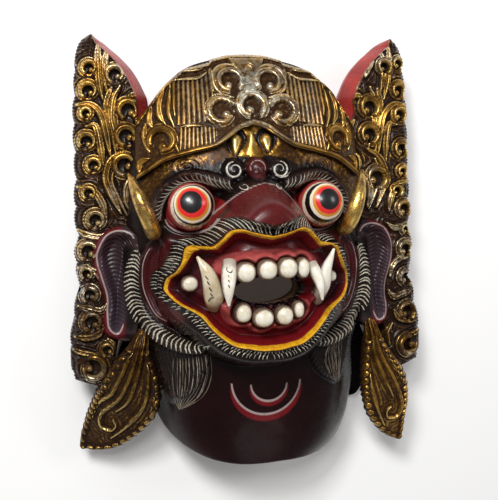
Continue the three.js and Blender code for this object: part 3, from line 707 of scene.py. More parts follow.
def carve(X, Y, strokes, bowls, flute=1.0, pitch=3.6):
    """Height of carved foliage: rounded strokes, bowls with a bead and a curled lip, and
    gouge lines that follow them across the ground between."""
    H = np.full(X.shape, -9.0)
    D = np.full(X.shape, 12.0)
    R = np.zeros(X.shape)
    for st in strokes:
        pts, w0, h0 = st[0], st[1], st[2]
        groove = st[3] if len(st) > 3 else 0
        line = fine(pts, 2.0) if len(pts) < 30 else np.asarray(pts)
        m, d, s, side = near_line(X, Y, line, w0 + 10)
        if len(d) == 0:
            continue
        w = w0 * np.clip(np.minimum(0.35 + 2.4 * s, 0.25 + 2.6 * (1 - s)), 0.2, 1)
        p = h0 * np.sqrt(np.maximum(0, 1 - (d / w) ** 2)) * (0.6 + 0.4 * w / w0)
        if groove == 1:
            p = p - 0.5 * h0 * ridge(d, 0.28 * w + 0.25) * (w > 1.2)
        elif groove == 2:
            p = p - 0.45 * h0 * ridge(d - 0.48 * w, 0.16 * w + 0.2) * (w > 1.2)
        p = np.where(d < w, p, -9)
        H[m] = np.maximum(H[m], p)
        D[m] = np.minimum(D[m], np.maximum(0, d - w))
    for b in bowls:
        cx, cy, r, start = b[:4]
        hand = b[4] if len(b) > 4 else 1
        d = np.hypot(X - cx, Y - cy)
        m = np.nonzero(d < r + 12)
        dd = d[m]
        ang = (hand * (np.degrees(np.arctan2(Y[m] - cy, X[m] - cx)) - start)) % 360
        phi = ang / 360.0
        swell = np.sin(np.pi * np.clip(phi * 1.08, 0, 1)) ** 0.7
        lipw = (0.10 + 0.20 * swell) * r + 0.45
        saw = 0.05 * r * np.abs(np.cos(phi * math.pi * 15)) if len(b) > 5 and b[5] else 0.0
        rr = r * (1.13 - 0.17 * phi) + saw
        gap = smooth((ang - 34) / 26) * smooth((356 - ang) / 14)
        prof = np.sqrt(np.maximum(0, 1 - ((dd - rr) / lipw) ** 2))
        ring = (3.2 + 0.14 * r) * prof * gap
        cur = H[m]
        cut = dd < rr - 0.3 * lipw
        shade = smooth((ang - 20) / 30)
        cur = np.where(cut, -4.4 * np.sqrt(np.maximum(0, 1 - (dd / rr) ** 2)) ** 0.6 * (0.35 + 0.65 * shade), cur)
        cur = np.where((np.abs(dd - rr) < lipw) & (gap > 0.02), np.maximum(ring, np.where(cut, cur, -9)), cur)
        # a second, thinner contour outside the lip
        o2 = dd - rr - lipw - 0.9
        cur = np.where((np.abs(o2) < 0.75) & (cur < 0.6), np.maximum(cur, 1.3 * np.sqrt(np.maximum(0, 1 - (o2 / 0.75) ** 2)) * gap - 0.4), cur)
        # the bead, tied to the open end of the lip
        ba = math.radians(start - hand * 24)
        bx, by = cx + 0.52 * r * math.cos(ba), cy + 0.52 * r * math.sin(ba)
        bd = np.hypot(X[m] - bx, Y[m] - by)
        br = 0.40 * r
        cur = np.where(bd < br, np.maximum(cur, -1.0 + 4.2 * np.sqrt(np.maximum(0, 1 - (bd / br) ** 2))), cur)
        H[m] = cur
        D[m] = np.where(cut, 0, np.minimum(D[m], np.maximum(0, dd - rr - lipw)))
        R[m] = np.maximum(R[m], smooth((r * 0.95 - dd) / (0.35 * r)))
    ground = -1.6 + flute * 1.5 * (0.5 + 0.5 * np.cos(2 * np.pi * D / pitch)) * np.exp(-D / 11)
    ground = ground + 0.5 * noise2(X, Y, 5.0, 21)
    H = np.maximum(H, np.where(H < -8.9, ground, np.maximum(H, -9)))
    H = np.where(H <= -8.9, ground, H)
    return H, D, R


def gold_of(H, R, lo=-0.9, hi=1.5, passes=9):
    # the second value, depth below the blurred relief, gives painted shade in the hollows and painted highlight and
    # wear on the raised parts
    local = H - blur(H, passes)
    g = smooth((H - lo) / (hi - lo)) * 0.75 + smooth((local + 0.25) / 0.7) * 0.5
    return np.clip(g * (1 - 0.85 * R * (H < -0.8)), 0, 1), np.clip(-local * 0.8, -1, 1)


BASE_Y = curve([(0, 98.2), (9, 95.4), (17, 89.8), (24, 84.6), (31, 80.6), (48, 76.7), (67, 71.6), (80, 64.0), (90, 58)])
_dg = np.linspace(38, 90, 400)
_ro = OUTLINE(_dg)
TOP_X = (_ro * np.cos(np.radians(_dg)))[::-1]
TOP_Y = (CY + _ro * np.sin(np.radians(_dg)))[::-1]


def build_crown():
    cols, rows = ((410, 210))
    xs = np.linspace(-89, 89, cols)
    X = np.repeat(xs[None], rows, 0)
    y0 = BASE_Y(np.abs(xs)) - 1.5
    y1 = np.interp(np.abs(xs), TOP_X, TOP_Y) + 0.4
    y1 = y1 - 2.6 * smooth((np.abs(xs) - 28.0) / 1.6) * (1 - smooth((np.abs(xs) - 38) / 16))
    t = np.linspace(0, 1, rows)[:, None]
    Y = y0[None] + (y1 - y0)[None] * t
    A = np.abs(X)
    strokes, bowls = [], []
    for s in (1, -1):
        # curled heads of the middle cluster: outer lip, plate and beads
        bowls.append((s * 15.4, 132.6, 8.6, 262 if s > 0 else 278, -s))
        bowls.append((s * 24.2, 108.2, 8.8, 195 if s > 0 else -15, -s, True))
        bowls.append((s * 70, 86.5, 8.4, 285 if s > 0 else -105, s))
        strokes.append(([(s * 6, 141), (s * 14, 145), (s * 24, 142.5), (s * 28.5, 134), (s * 27, 126), (s * 22, 121)], 2.4, 4.6))
        strokes.append(([(s * 34, 117), (s * 36, 109), (s * 33, 101), (s * 26, 96.5)], 2.0, 4.0))
        strokes.append(([(s * 14, 118.5), (s * 20, 119.5), (s * 27, 120), (s * 34, 117)], 2.0, 4.2))
        # upper gold border of the flutes and their outline
        strokes.append(([(s * 29, 140.5), (s * 38, 134.5), (s * 47, 133.2), (s * 57, 133.5)], 2.6, 3.8))
        strokes.append(([(s * 30, 121), (s * 29.2, 130), (s * 29, 140)], 1.4, 3.0))
        strokes.append(([(s * 57.5, 133), (s * 62, 121), (s * 63.5, 108), (s * 60, 96)], 1.7, 3.4))
        strokes.append(([(s * 40, 96.5), (s * 48, 96.8), (s * 56, 95.6)], 1.5, 2.6))
        # top edge: two sunken tabs each side, with a raised core
        strokes.append(([(s * 31, 147.5), (s * 39, 142.2), (s * 48, 141.2), (s * 58, 139)], 1.6, 3.2))
        strokes.append(([(s * 62, 137), (s * 65, 129), (s * 72, 122), (s * 78, 118)], 1.6, 3.2))
        # foliage between the flutes and the side edge
        strokes.append(([(s * 66, 126), (s * 70, 116), (s * 70, 106), (s * 66, 98)], 2.2, 3.6, 1))
        strokes.append(([(s * 76, 113), (s * 78, 104), (s * 76, 96)], 2.2, 3.4, 1))
        strokes.append(([(s * 81, 100), (s * 82, 90), (s * 79, 78)], 2.6, 3.4, 1))
        strokes.append(([(s * 59.5, 92), (s * 60.5, 84), (s * 58, 77)], 1.8, 3.0, 0))
        strokes.append(([(s * 80, 73), (s * 86, 70), (s * 87, 63)], 2.6, 3.0, 1))
    bowls.append((0, 112.4, 8.9, 268, 1))
    strokes.append((scroll(0, 112.4, 11.6, -60, 0.85, 1.0), 1.7, 4.0))
    H, D, R = carve(X, Y, strokes, bowls, flute=0.9, pitch=3.4)
    # plate between the two upper curls with a small hooded notch
    plate = smooth((6.2 + 0.16 * np.maximum(0, Y - 128) ** 1.25 - A) / 1.2) * smooth((Y - 121.5) / 2.5) * smooth((152.5 - Y) / 2)
    clear = np.minimum(np.hypot(A - 15.4, Y - 132.6) - 9.6, np.hypot(A, Y - 112.4) - 11)
    plate = plate * smooth(clear / 1.2 + 0.5)
    H = np.where(plate > 0.05, np.maximum(H, 3.2 * plate), H)
    nd = np.hypot(X, Y - 142.2)
    H = H - 2.6 * ridge(nd - 3.6, 0.9) * smooth((Y - 141.0) / 1.5)
    # comb of upright flutes in each panel, and a shorter row below it
    for s in (1, -1):
        sx = X * s
        up = smooth((sx - 28.5) / 1.5) * smooth((62 - 0.18 * np.maximum(0, 118 - Y) - sx) / 1.5) * smooth((Y - 98.5 + 0.1 * (sx - 40)) / 1.5) \
            * smooth((134.2 + 0.055 * (43 - sx) ** 2 * (sx < 43) - Y) / 2)
        hide = smooth((np.hypot(sx - 24.2, Y - 108.2) - 12) / 2)
        lean = sx + 0.07 * (Y - 116) * (sx - 36) / 22
        comb = 3.2 * np.abs(np.cos(np.pi * lean / 3.7)) ** 0.7 - 1.7
        H = np.where(up * hide > 0.5, comb, H)
        low = smooth((sx - 28) / 1.5) * smooth((57.5 - sx) / 1.2) * smooth((Y - (BASE_Y(A) + 2.6)) / 1) \
            * smooth((95.2 + 1.4 * np.abs(np.sin(np.pi * sx / 7.0)) - 0.35 * np.maximum(0, 33 - sx) - Y) / 1)
        lean2 = sx + 0.06 * (Y - 86) * (sx - 30) / 14
        comb2 = 2.9 * np.abs(np.cos(np.pi * lean2 / 3.1)) ** 0.7 - 1.7
        H = np.where((low > 0.5) & (hide > 0.4), comb2, H)
        # tabs along the top
        for tx, ty, ta, rl_, rw in [(42, 145.5, -0.16, 11, 4.2), (72.5, 125.5, -0.95, 9, 3.6)]:
            ca, sa = math.cos(ta), math.sin(ta)
            dx, dy = sx - tx, Y - ty
            e = np.hypot((dx * ca + dy * sa) / rl_, (-dx * sa + dy * ca) / rw)
            H = np.where(e < 1, -1.2 + 2.6 * np.sqrt(np.maximum(0, 1 - (e / 0.72) ** 2)), H)
    # base band and arch
    yb = BASE_Y(A)
    slope = np.clip(np.abs(A - 16) / 16, 0, 1)
    band = (Y - yb - 0.6) * (0.72 + 0.28 * slope)
    H = np.maximum(H, 4.6 * np.sqrt(np.maximum(0, 1 - (band / 2.3) ** 2)) - 0.2)
    H = np.where(Y < yb - 1, -1, H)
    # serrated rim along the crown's top edge
    edge = (y1[None] - Y)
    H = np.where(edge < 3.2, np.maximum(H, 1.4 + 0.7 * np.cos(2 * np.pi * X / 3.1)), H)
    gold, cav = gold_of(H, R)
    gold = np.maximum(gold, 0.85 * (plate > 0.5))
    base = dome(A, Y) + 4.4
    Z = base + H - 3.5 * smooth((2.2 - edge) / 2.2)
    Z = np.where(Y < yb, Z - 3, Z)
    back = np.minimum(dome(A, Y) - 9, 60)
    P = np.broadcast_to(srgb(40, 24, 16), X.shape + (3,))
    # pale: a painted reflection whitening the gold at the crown's centre, fainter over its inner part
    return slab("crown_carving", X, Y, Z, back, {"paint": P, "gold": gold, "cav": cav, "lipq": np.full(X.shape, 60.0), "pale": np.maximum(smooth((34 - np.hypot(X, Y - 116)) / 22), 0.32 * smooth((62 - A) / 16) * smooth((Y - 78) / 8))})


# ---------------------------------------------------------------- the wings
WING_OUT = curve([
    (-104, 131), (-99, 145), (-90, 148), (-75, 148.5), (-55, 145.5), (-37, 142.5), (-24, 139), (-10, 141.5), (2, 142),
    (12, 139.5), (35, 141), (66, 139.5), (100, 139.5), (135, 137.5), (155, 135.5), (164, 133), (169, 129.5), (171.5, 125.5)])
WING_IN = curve([
    (-104, 124), (-98, 118), (-85, 113), (-60, 108), (-20, 100), (20, 92), (60, 84), (100, 79), (120, 79.5), (133, 84),
    (145, 90.5), (156, 100), (163, 108), (168.5, 114.5), (171.5, 119.5)])
WING_BACK, WING_FRONT, WING_TILT = 27.0, 51.0, 6.0

WING_BOWLS = {
    -1: [(125, 145.5, 4.8, 250), (105.5, 140, 6.0, 240), (126.2, 128, 5.6, 250), (96, 112.5, 7.0, 250), (98.5, 92.5, 7.0, 230),
         (128.6, 88.8, 5.8, 270), (124.0, 70, 5.0, 250), (100.5, 69.7, 7.4, 220), (124, 27.4, 6.0, 260), (130.5, 3, 6.4, 250),
         (130.5, -31.5, 5.6, 250), (129.5, -53, 6.6, 250), (118.5, -75.3, 4.8, 240), (129.5, -89, 8.0, 20), (128.5, 110.5, 3.8, 250),
         (128.5, 48.5, 4.4, 250), (132.5, -14.5, 4.2, 250)],
    1: [(116, 147.8, 5.4, 250), (129, 151, 4.6, 250), (129.5, 128.9, 5.8, 250), (102, 114.5, 7.2, 250), (101.6, 92, 7.0, 240),
        (130, 108.8, 5.4, 250), (131, 80, 6.0, 260), (131.9, 61, 4.2, 250), (107.5, 56, 8.0, 230), (132.5, 29.7, 6.0, 260),
        (133, -4.4, 6.2, 250), (133, -29, 6.2, 250), (133, -57.6, 6.8, 250), (133.5, -86, 7.2, 20), (126, 45, 4.2, 250), (134, 12, 4.2, 250)],
}
WING_LINES = [
    [(117, 167), (117.8, 154.4), (117.8, 141.7), (117.2, 131.9), (115.2, 121)],
    [(110.5, 160), (112.5, 151), (113.4, 140), (113.4, 131)],
    [(104, 152), (99.5, 146), (97.2, 139)],
    [(101.8, 131), (107.4, 121), (109.3, 106.4), (106.8, 92.6), (105.4, 82.6)],
    [(108.2, 130), (112.6, 119.5), (113.6, 110)],
    [(135.2, 117.2), (124.6, 117.4), (116.9, 109.4), (113.6, 94.6), (110.9, 77.7)],
    [(128.6, 100.4), (121.5, 100.5), (118.6, 86.7), (116.6, 69.9)],
    [(101, 80.2), (110.6, 73.8), (115, 60), (110.6, 45.9), (104.2, 31.8)],
    [(94.6, 62), (99, 52), (99.2, 42), (96, 32)],
    [(137, 53.5), (125.1, 49.8), (118.6, 40.2), (115.6, 28.1)],
    [(90.3, 104), (86.2, 96.4), (85.2, 84.4)],
    [(86.2, 122.2), (90, 124.3), (96, 123)],
    [(88.6, 79), (92, 70), (90.4, 60)],
    [(138, 20), (131, 16), (121, 14), (114.5, 18)],
    [(139, -10), (128, -12), (121.5, -18), (119.5, -27)],
    [(140, -40), (130, -42.5), (122, -44), (117.5, -38)],
    [(143, -64), (133, -65), (124.5, -62), (121, -55)],
    [(145, -74), (136, -77), (127, -78)],
    [(118, -66), (112.5, -74), (113.6, -84)],
]


def build_wing(side):
    rows, cols = ((600, 118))
    ys = np.linspace(-103.8, 171.3, rows)
    ins, outs = WING_IN(ys), WING_OUT(ys)
    lobes = np.where(ys < 150, np.abs(np.sin(np.pi * (ys + 6) / 22.0)) ** 0.55, 1)
    outs = outs - 2.6 * (1 - lobes) + 0.35 * np.sin(ys * 2.4)
    outs = np.minimum(outs, BOX_HI[0] - WING_SHIFT - 0.2)
    w = outs - ins
    t = np.linspace(0, 1, cols)[None]
    A = ins[:, None] + w[:, None] * t
    Y = np.repeat(ys[:, None], cols, 1)
    W = np.repeat(w[:, None], cols, 1)
    red = (np.minimum(9.5, w * 0.42) * smooth((ys - 88) / 22))[:, None] * np.ones_like(t)
    strokes = []
    for i, l in enumerate(WING_LINES):
        p = [(x_ + 2.2 * (side > 0) * math.sin(y_ * 0.05), y_) for x_, y_ in l]
        strokes.append((p, 3.0 if len(l) > 3 else 2.4, 4.0, 1 if i % 3 else 2))
        if len(l) > 4:
            q_ = [(x_ - 4.6, y_ - 1.5) for x_, y_ in l[1:]]
            strokes.append((q_, 1.4, 2.6))
    bowls = [(b[0], b[1], b[2], b[3]) for b in WING_BOWLS[side]]
    H, D, R = carve(A, Y, strokes, bowls, flute=1.0, pitch=3.7)
    ein = A - ins[:, None] - red
    eout = outs[:, None] - A
    gold, cav = gold_of(H, R)
    f = WING_FRONT - WING_TILT * ((A - ins[:, None]) / np.maximum(W, 1))
    swell = 1.6 * np.sin(np.pi * np.clip((A - ins[:, None]) / np.maximum(W, 1), 0, 1))
    Z = f + swell + H * np.clip(np.minimum(eout, ein) / 2.5, 0.25, 1)
    Z = Z - 6.5 * (1 - np.sqrt(np.clip(eout / 5.0, 0, 1)))
    # red bevel along the upper inner edge
    bev = smooth((0.8 - ein) / 1.2) * (red > 0.5)
    zb = WING_FRONT - 3.0 - 15.0 * np.clip(-ein / np.maximum(red, 0.5), 0, 1) ** 1.15
    Z = Z * (1 - bev) + zb * bev
    gold = gold * (1 - bev)
    rag = 0.6 * noise2(A, Y, 2.2, 33) + 0.6
    gold = np.maximum(gold, 0.6 * smooth((rag - np.abs(ein)) / 0.8) * (red > 0.5))
    lowin = (1 - smooth((ys - 88) / 22))[:, None] * smooth((2.5 - (A - ins[:, None])) / 2.5)
    Z = Z - 8 * lowin
    P = np.broadcast_to(srgb(40, 24, 16), Z.shape + (3,)).copy()
    redcol = mix(np.broadcast_to(srgb(176, 58, 52), P.shape), srgb(120, 34, 34), np.clip(0.5 + 0.5 * noise2(A, Y, 10, 4), 0, 1) * 0.6)
    # painted shade: the red bevel darkens towards its low end, where it runs in under the crown's edge
    redcol = mix(redcol, srgb(58, 30, 26), smooth((112 - Y) / 16) * 0.8)
    P = mix(P, redcol, bev)
    back = np.full(Z.shape, WING_BACK)
    # the gold is dimmer and browner towards the wing's bottom, in random patches
    dulled = np.clip(0.25 + 0.55 * smooth((60 - Y) / 110) + 0.35 * noise2(A, Y, 16, 51), 0, 1) * (1 - bev)
    gold = gold * (1 - 0.35 * dulled)
    # pale: random painted highlights whitening the gold
    o = slab(f"wing_{'right' if side > 0 else 'left'}", side * A + WING_SHIFT, Y, Z, back,
             {"paint": P, "gold": gold, "cav": cav * (1 - bev), "lipq": np.full(Z.shape, 60.0), "pale": 0.5 * smooth(noise2(A, Y, 24, 9) * 1.5), "dulled": dulled})
    return o


# ------------------------------------------------------------------ the ears
EAR_OUT = curve([(-69, 108), (-66, 114.5), (-60, 119), (-52, 119.5), (-41, 117), (-31, 118), (-20, 121.5), (-8, 124),
                 (3, 124), (12, 121), (18, 115.5), (22, 108)])
EAR_IN = curve([(-69, 100), (-62, 94), (-50, 92), (-20, 90), (10, 90), (22, 98)])
EAR_LINE = fine([(120.6, 2.2), (113.5, 14.8), (103, 18.6), (93.5, 14.5), (91.5, 2.0), (94.5, -10.8), (97, -23.4), (98.5, -35.1),
                 (100.5, -49.1), (106.5, -61.5), (113.5, -57.5), (114.6, -45.5), (114.2, -32.5), (118.0, -17.2), (120.8, -6.3)], 1.2, True)


def ear_z(A, Y, d):
    """Front surface of the ear before its rim rolls over."""
    Z = 57.5 - 6.2 * smooth(-d / 9) + 1.5 * ridge(d - 3, 3.5)
    Z = Z + 2.5 * smooth((102.5 - A) / 5) * smooth((Y + 62) / 8) * smooth((8 - Y) / 6)
    return Z


def build_ear(side):
    rows, cols = 190, 84
    ys = -69 + 91 * (0.5 - 0.5 * np.cos(np.pi * np.linspace(0.03, 0.97, rows)))
    ins, outs = EAR_IN(ys) - 1, EAR_OUT(ys)
    t = np.linspace(0, 1, cols)[None]
    A = ins[:, None] + (outs - ins)[:, None] * t
    Y = np.repeat(ys[:, None], cols, 1)
    d = signed(A, Y, EAR_LINE)
    eo = outs[:, None] - A
    ev = np.minimum(ys + 70.5, 23.0 - ys)[:, None] * np.ones_like(t)
    Z = ear_z(A, Y, d)
    vein = np.hypot(A - 108, (Y + 5) * 0.15)
    Z = Z + 0.35 * np.cos((Y * 0.9 + (A - 108) ** 2 * 0.06) * 2.1) * smooth(-d / 3)
    Z = Z - 13 * (1 - np.sqrt(np.clip(eo / 7, 0, 1))) - 10 * (1 - np.sqrt(np.clip(ev / 8, 0, 1)))
    P = np.broadcast_to(srgb(98, 26, 32), Z.shape + (3,)).copy()
    P = mix(P, srgb(70, 26, 28), 0.5 * np.clip(noise2(A, Y, 9, 12) + 0.3, 0, 1))
    bowl = mix(np.broadcast_to(srgb(70, 55, 64), P.shape), srgb(66, 42, 46), np.clip((Y + 30) / 60 + 0.2, 0, 1))
    P = mix(P, bowl, smooth((-d + 0.3) / 1.2))
    P = mix(P, srgb(54, 38, 41), smooth((103.5 - A) / 4))
    P = mix(P, srgb(26, 20, 19), smooth((102 - A) / 2.5) * smooth((Y + 62) / 8) * smooth((8 - Y) / 6))
    lines = np.abs(d) * 1.15 + 3 * smooth((103.5 - A) / 4) * (Y < 12)
    back = np.full(Z.shape, 30.0)
    # the ear's hollow inside its line is darkened by the material: painted shade
    return slab(f"ear_{'right' if side > 0 else 'left'}", side * A, Y, Z, back,
                {"paint": P, "gold": np.zeros(Z.shape), "cav": np.clip(smooth(-d / 8) * 0.5, 0, 1), "lipq": np.full(Z.shape, 60.0), "line": lines})


# --------------------------------------------------------------- leaf drops
LEAF_LINE = {
    -1: [(-87.5, -60, 54), (-91, -74, 56), (-94.5, -88, 55), (-97.4, -102.6, 52), (-102.5, -119.7, 46), (-118.9, -142.5, 32),
         (-138.1, -159.1, 18)],
    1: [(99.5, -60, 54), (101.5, -72, 56), (104, -87.9, 55), (109, -103.9, 53), (113.8, -119.3, 50), (117.5, -136, 46), (123, -152.4, 41),
        (132, -169, 34)]}
LEAF_HALF = {
    -1: curve([(0, 4), (0.17, 9), (0.33, 17.5), (0.5, 24), (0.66, 27), (0.84, 20.5), (0.94, 12), (1, 3.5)]),
    1: curve([(0, 4), (0.14, 7), (0.28, 12), (0.43, 18.5), (0.57, 21.5), (0.71, 20.5), (0.86, 14.5), (0.95, 8.5), (1, 3.5)])}


def catmull(points, ts):
    """The CAD's own parameter: an equal share for each control span."""
    q = np.array(points, float)
    n = len(q) - 1
    ext = np.vstack([2 * q[0] - q[1], q, 2 * q[-1] - q[-2]])
    out = []
    for t in ts:
        i = min(int(t * n), n - 1)
        u = t * n - i
        a, b, c, d = ext[i], ext[i + 1], ext[i + 2], ext[i + 3]
        out.append(0.5 * (2 * b + (c - a) * u + (2 * a - 5 * b + 4 * c - d) * u**2 + (3 * b - a - 3 * c + d) * u**3))
    return np.array(out)


def build_leaf(side):
    rows, cols, under = (230, 104, 12)
    t = np.linspace(0.0, 1.0, rows)
    s = np.linspace(-1, 1, cols)
    T_, S_ = np.meshgrid(t, s, indexing="ij")
    mid = catmull(LEAF_LINE[side], t)
    d = np.gradient(mid, axis=0)
    ln = np.linalg.norm(d, axis=1).sum()
    arc = np.concatenate([[0], np.cumsum(np.linalg.norm(np.diff(mid, axis=0), axis=1))])
    along = d / np.linalg.norm(d, axis=1)[:, None]
    across = np.cross([0, 0, 1], along)
    across /= np.linalg.norm(across, axis=1)[:, None]
    across *= -side
    up = np.cross(along, across * -side)
    up /= np.linalg.norm(up, axis=1)[:, None]
    w = LEAF_HALF[side](t)
    teeth = 0.5 + 0.5 * np.cos(2 * np.pi * arc / 6.2)
    w = w * (1 - 0.045 * teeth * smooth((t - 0.25) / 0.1))
    W = w[:, None] * np.ones_like(S_)
    U, V = S_ * W, arc[:, None] * np.ones_like(S_)  # leaf's own flat plane
    strokes = [
        ([(0, 2), (-2, 30), (-8, 58), (-12, 80), (-6, 92), (3, 90), (3.5, 83), (-1, 80)], 1.6, 3.2),
        ([(2.2, 2), (3, 28), (0, 54), (-4, 70)], 1.8, 3.4),
        ([(-2.5, 3), (-7, 26), (-14, 52), (-19, 74), (-15, 92)], 1.5, 2.8),
        ([(4.6, 2), (10, 26), (13, 52), (11, 74), (8, 96)], 1.7, 3.2),
        ([(6.0, 6), (15, 30), (20.5, 54), (20, 76)], 1.3, 2.4),
    ]
    H, D, R = carve(U, V, strokes, [], flute=0.75, pitch=3.3)
    edge = (1 - np.abs(S_)) * W
    # raised beads strung along the margin
    k = np.round(V / 6.2) * 6.2
    bd = np.hypot(edge - 3.0, (V - k))
    bead = 2.6 * np.sqrt(np.maximum(0, 1 - (bd / 2.5) ** 2))
    edge_zone = (edge < 6.4) & (T_ > 0.2)
    H = np.where(edge_zone, np.maximum(-1.4, bead), H)
    H = H * smooth(edge / 1.5 + 0.25) * (0.5 + 0.5 * smooth(T_ / 0.1))
    gold, cav = gold_of(H, R, -1.0, 0.9, 7)
    gold = np.clip(gold + 0.30, 0, 1) * np.where(edge_zone & (bead < 0.4), 0.2, 1)
    TH = 12 * (0.45 + 0.55 * np.sin(np.pi * np.clip(T_ * 0.8 + 0.25, 0, 1)))
    ease = 3 * np.sin(np.pi * np.minimum(1, T_ * 1.05))
    top = TH * (0.35 + 0.6 * np.sqrt(np.clip(1 - S_**2, 0, 1)) ** 0.6) - TH * 0.5 + ease * (1 - S_**2) + 0.7 * H
    P3 = mid[:, None] + across[:, None] * U[..., None] + up[:, None] * top[..., None]
    sb = np.linspace(1, -1, under + 2)[1:-1]
    Tb, Sb = np.meshgrid(t, sb, indexing="ij")
    Wb = w[:, None] * np.ones_like(Sb)
    THb = 12 * (0.45 + 0.55 * np.sin(np.pi * np.clip(Tb * 0.8 + 0.25, 0, 1)))
    bot = -THb * 0.5 + THb * 0.3 * np.abs(Sb) ** 3 + 3 * np.sin(np.pi * np.minimum(1, Tb * 1.05)) * (1 - Sb**2)
    B3 = mid[:, None] + across[:, None] * (Sb * Wb * 0.98)[..., None] + up[:, None] * bot[..., None]
    L = np.concatenate([P3, B3], 1)
    n = L.shape[1]
    L[..., 1] = np.maximum(L[..., 1], BOX_LO[1] + 0.3)
    L[..., 0] = np.clip(L[..., 0], BOX_LO[0] + 0.2, BOX_HI[0] - 0.2)
    L[..., 2] = np.maximum(L[..., 2], 3.0)
    v, f, lo, up_ = capped(rows, n, L)

    def full(top_, val):
        x_ = np.concatenate([top_, np.full((rows, under), val)], 1).ravel()
        return np.concatenate([x_, [val, val]])

    P = np.broadcast_to(srgb(42, 26, 18), (len(v), 3))
    # the left leaf's gold is much dimmer and browner than the right one's, in random patches
    return make_mixed(f"leaf_{'right' if side > 0 else 'left'}", v, f, np.vstack([lo, up_]),
                      {"paint": P, "gold": full(gold, 0.0), "cav": full(cav, 0.0), "lipq": np.full(len(v), 60.0),
                       "dulled": full(np.clip((0.95 if side < 0 else 0.10) + 0.5 * noise2(U, V, 12, 61), 0, 1), 0.0)})


# --------------------------------------------------- teeth, tusks and horns
TEETH = [
    (-18, -12, 133, 7.4, 7.6), (-3, -10.5, 136, 7.4, 7.4), (12, -10, 134, 7.6, 7.8), (24, -10.5, 131, 5, 7.8),
    (-18.3, -42.5, 119, 6.6, 7.4), (-4, -46.5, 122, 8, 7.2), (11.8, -45.5, 121, 7, 7.3), (23.2, -42, 118, 4.4, 6.6)]
FRINGE_W = curve([(-90, 7.6), (-50, 7.6), (-20, 8.6), (0, 9.5), (30, 10), (60, 10), (75, 9.5), (90, 8)])

HORN = {-1: [(-77, 22, 60), (-78.5, 17, 80), (-82.5, 27, 92), (-88.5, 42, 93), (-93, 54, 85), (-95.5, 61.5, 77)],
        1: [(71.5, 16, 60), (73, 16.5, 80), (76, 27, 90), (81, 42, 90), (85.5, 54, 83), (88.5, 61.5, 76)]}
HORN_R = [(0, 4.8), (0.2, 6.2), (0.45, 6.2), (0.78, 3.8), (1, 1)]
UPPER = {-1: [(-28.6, -4.5, 125), (-29.8, -13, 131), (-31.2, -24, 134), (-31, -35, 133)],
         1: [(31.6, -8, 126), (33.2, -14, 130.5), (35.5, -23, 133), (37.5, -34, 132)]}
UPPER_R = {-1: [(0, 5.2), (0.3, 5.8), (0.65, 4.3), (1, 0.9)], 1: [(0, 4.0), (0.3, 4.3), (0.65, 3.3), (1, 0.9)]}
LOWER = {-1: [(-37.5, -39, 104), (-39.5, -28, 117), (-43.0, -14, 122), (-51, 0, 121)],
         1: [(41, -38, 103), (42.3, -25, 116), (45.0, -12, 119), (51.3, 2, 118)]}
LOWER_R = {-1: [(0, 5.6), (0.3, 7.4), (0.65, 5.6), (1, 0.9)], 1: [(0, 4.8), (0.35, 5.8), (0.65, 4.2), (1, 0.9)]}


def tooth(name, x, y, z, rx, ry, rz=8.0, lean=0.0):
    """A rounded, slightly squared peg of a tooth with a faint central swell."""
    n, m = 44, 30
    ph = np.linspace(0.03, math.pi - 0.03, m)
    al = np.linspace(0, 2 * math.pi, n, endpoint=False)
    P, A = np.meshgrid(ph, al, indexing="ij")
    e = 0.86
    cs = lambda c: np.sign(c) * np.abs(c) ** e
    X = x + rx * cs(np.sin(P)) * cs(np.cos(A)) * (1 + 0.05 * np.cos(P))
    Y = y + ry * cs(np.sin(P)) * cs(np.sin(A)) + lean * np.cos(P)
    Z = z + rz * cs(np.cos(P))
    X = X + 0.18 * noise2(X + 5 * x, Y, 4.5, 40)
    v, f, lo, up = capped(m, n, np.stack([X, Y, Z], -1))
    rim = np.hypot((v[:, 0] - x) / rx, (v[:, 1] - y) / ry)
    # painted shade: the tooth browns towards its rounded sides
    edge_shade = smooth((rim - 0.62) / 0.34)
    return make_mixed(name, v, f, np.vstack([lo, up]), {"rim": edge_shade})


def peg(name, points, radii, steps=64, around=36, flat=1.0, marks=None):
    """A tapered curved tusk or horn along the CAD's own path and radii."""
    q = np.array(points, float)
    line = fine(q, 0.6)
    # same parameter as the CAD: equal share per control span
    n = len(q) - 1
    ts = np.linspace(0, 1, steps)
    ext = np.vstack([2 * q[0] - q[1], q, 2 * q[-1] - q[-2]])
    C = []
    for t in ts:
        i = min(int(t * n), n - 1)
        u = t * n - i
        a, b, c, d = ext[i], ext[i + 1], ext[i + 2], ext[i + 3]
        C.append(0.5 * (2 * b + (c - a) * u + (2 * a - 5 * b + 4 * c - d) * u**2 + (3 * b - a - 3 * c + d) * u**3))
    C = np.array(C)
    T = np.gradient(C, axis=0)
    T /= np.linalg.norm(T, axis=1)[:, None]
    X0 = np.array([1.0, 0, 0])
    S = X0 - T * (T @ X0)[:, None]
    S /= np.linalg.norm(S, axis=1)[:, None]
    O = np.cross(T, S)
    r = curve(radii)(ts) * 0.985
    al = np.linspace(0, 2 * math.pi, around, endpoint=False)
    dev = 0.12 * np.sin(3 * al[None] + 9 * ts[:, None])
    R = r[:, None] + dev * (r[:, None] > 2)
    V = C[:, None] + S[:, None] * (R * np.cos(al))[..., None] + O[:, None] * (R * flat * np.sin(al))[..., None]
    v, f, lo, up = capped(steps, around, V)
    share = np.concatenate([np.repeat(ts, around), [0, 1]])
    # bearing seen from the front, -1..1 across the visible width
    acrossv = (v[:, 0] - np.concatenate([np.repeat(C[:, 0], around), [C[0, 0], C[-1, 0]]])) / np.concatenate([np.repeat(r, around), [r[0], r[-1]]])
    return make_mixed(name, v, f, np.vstack([lo, up]), {"share": share, "acro": acrossv}), C, r, S


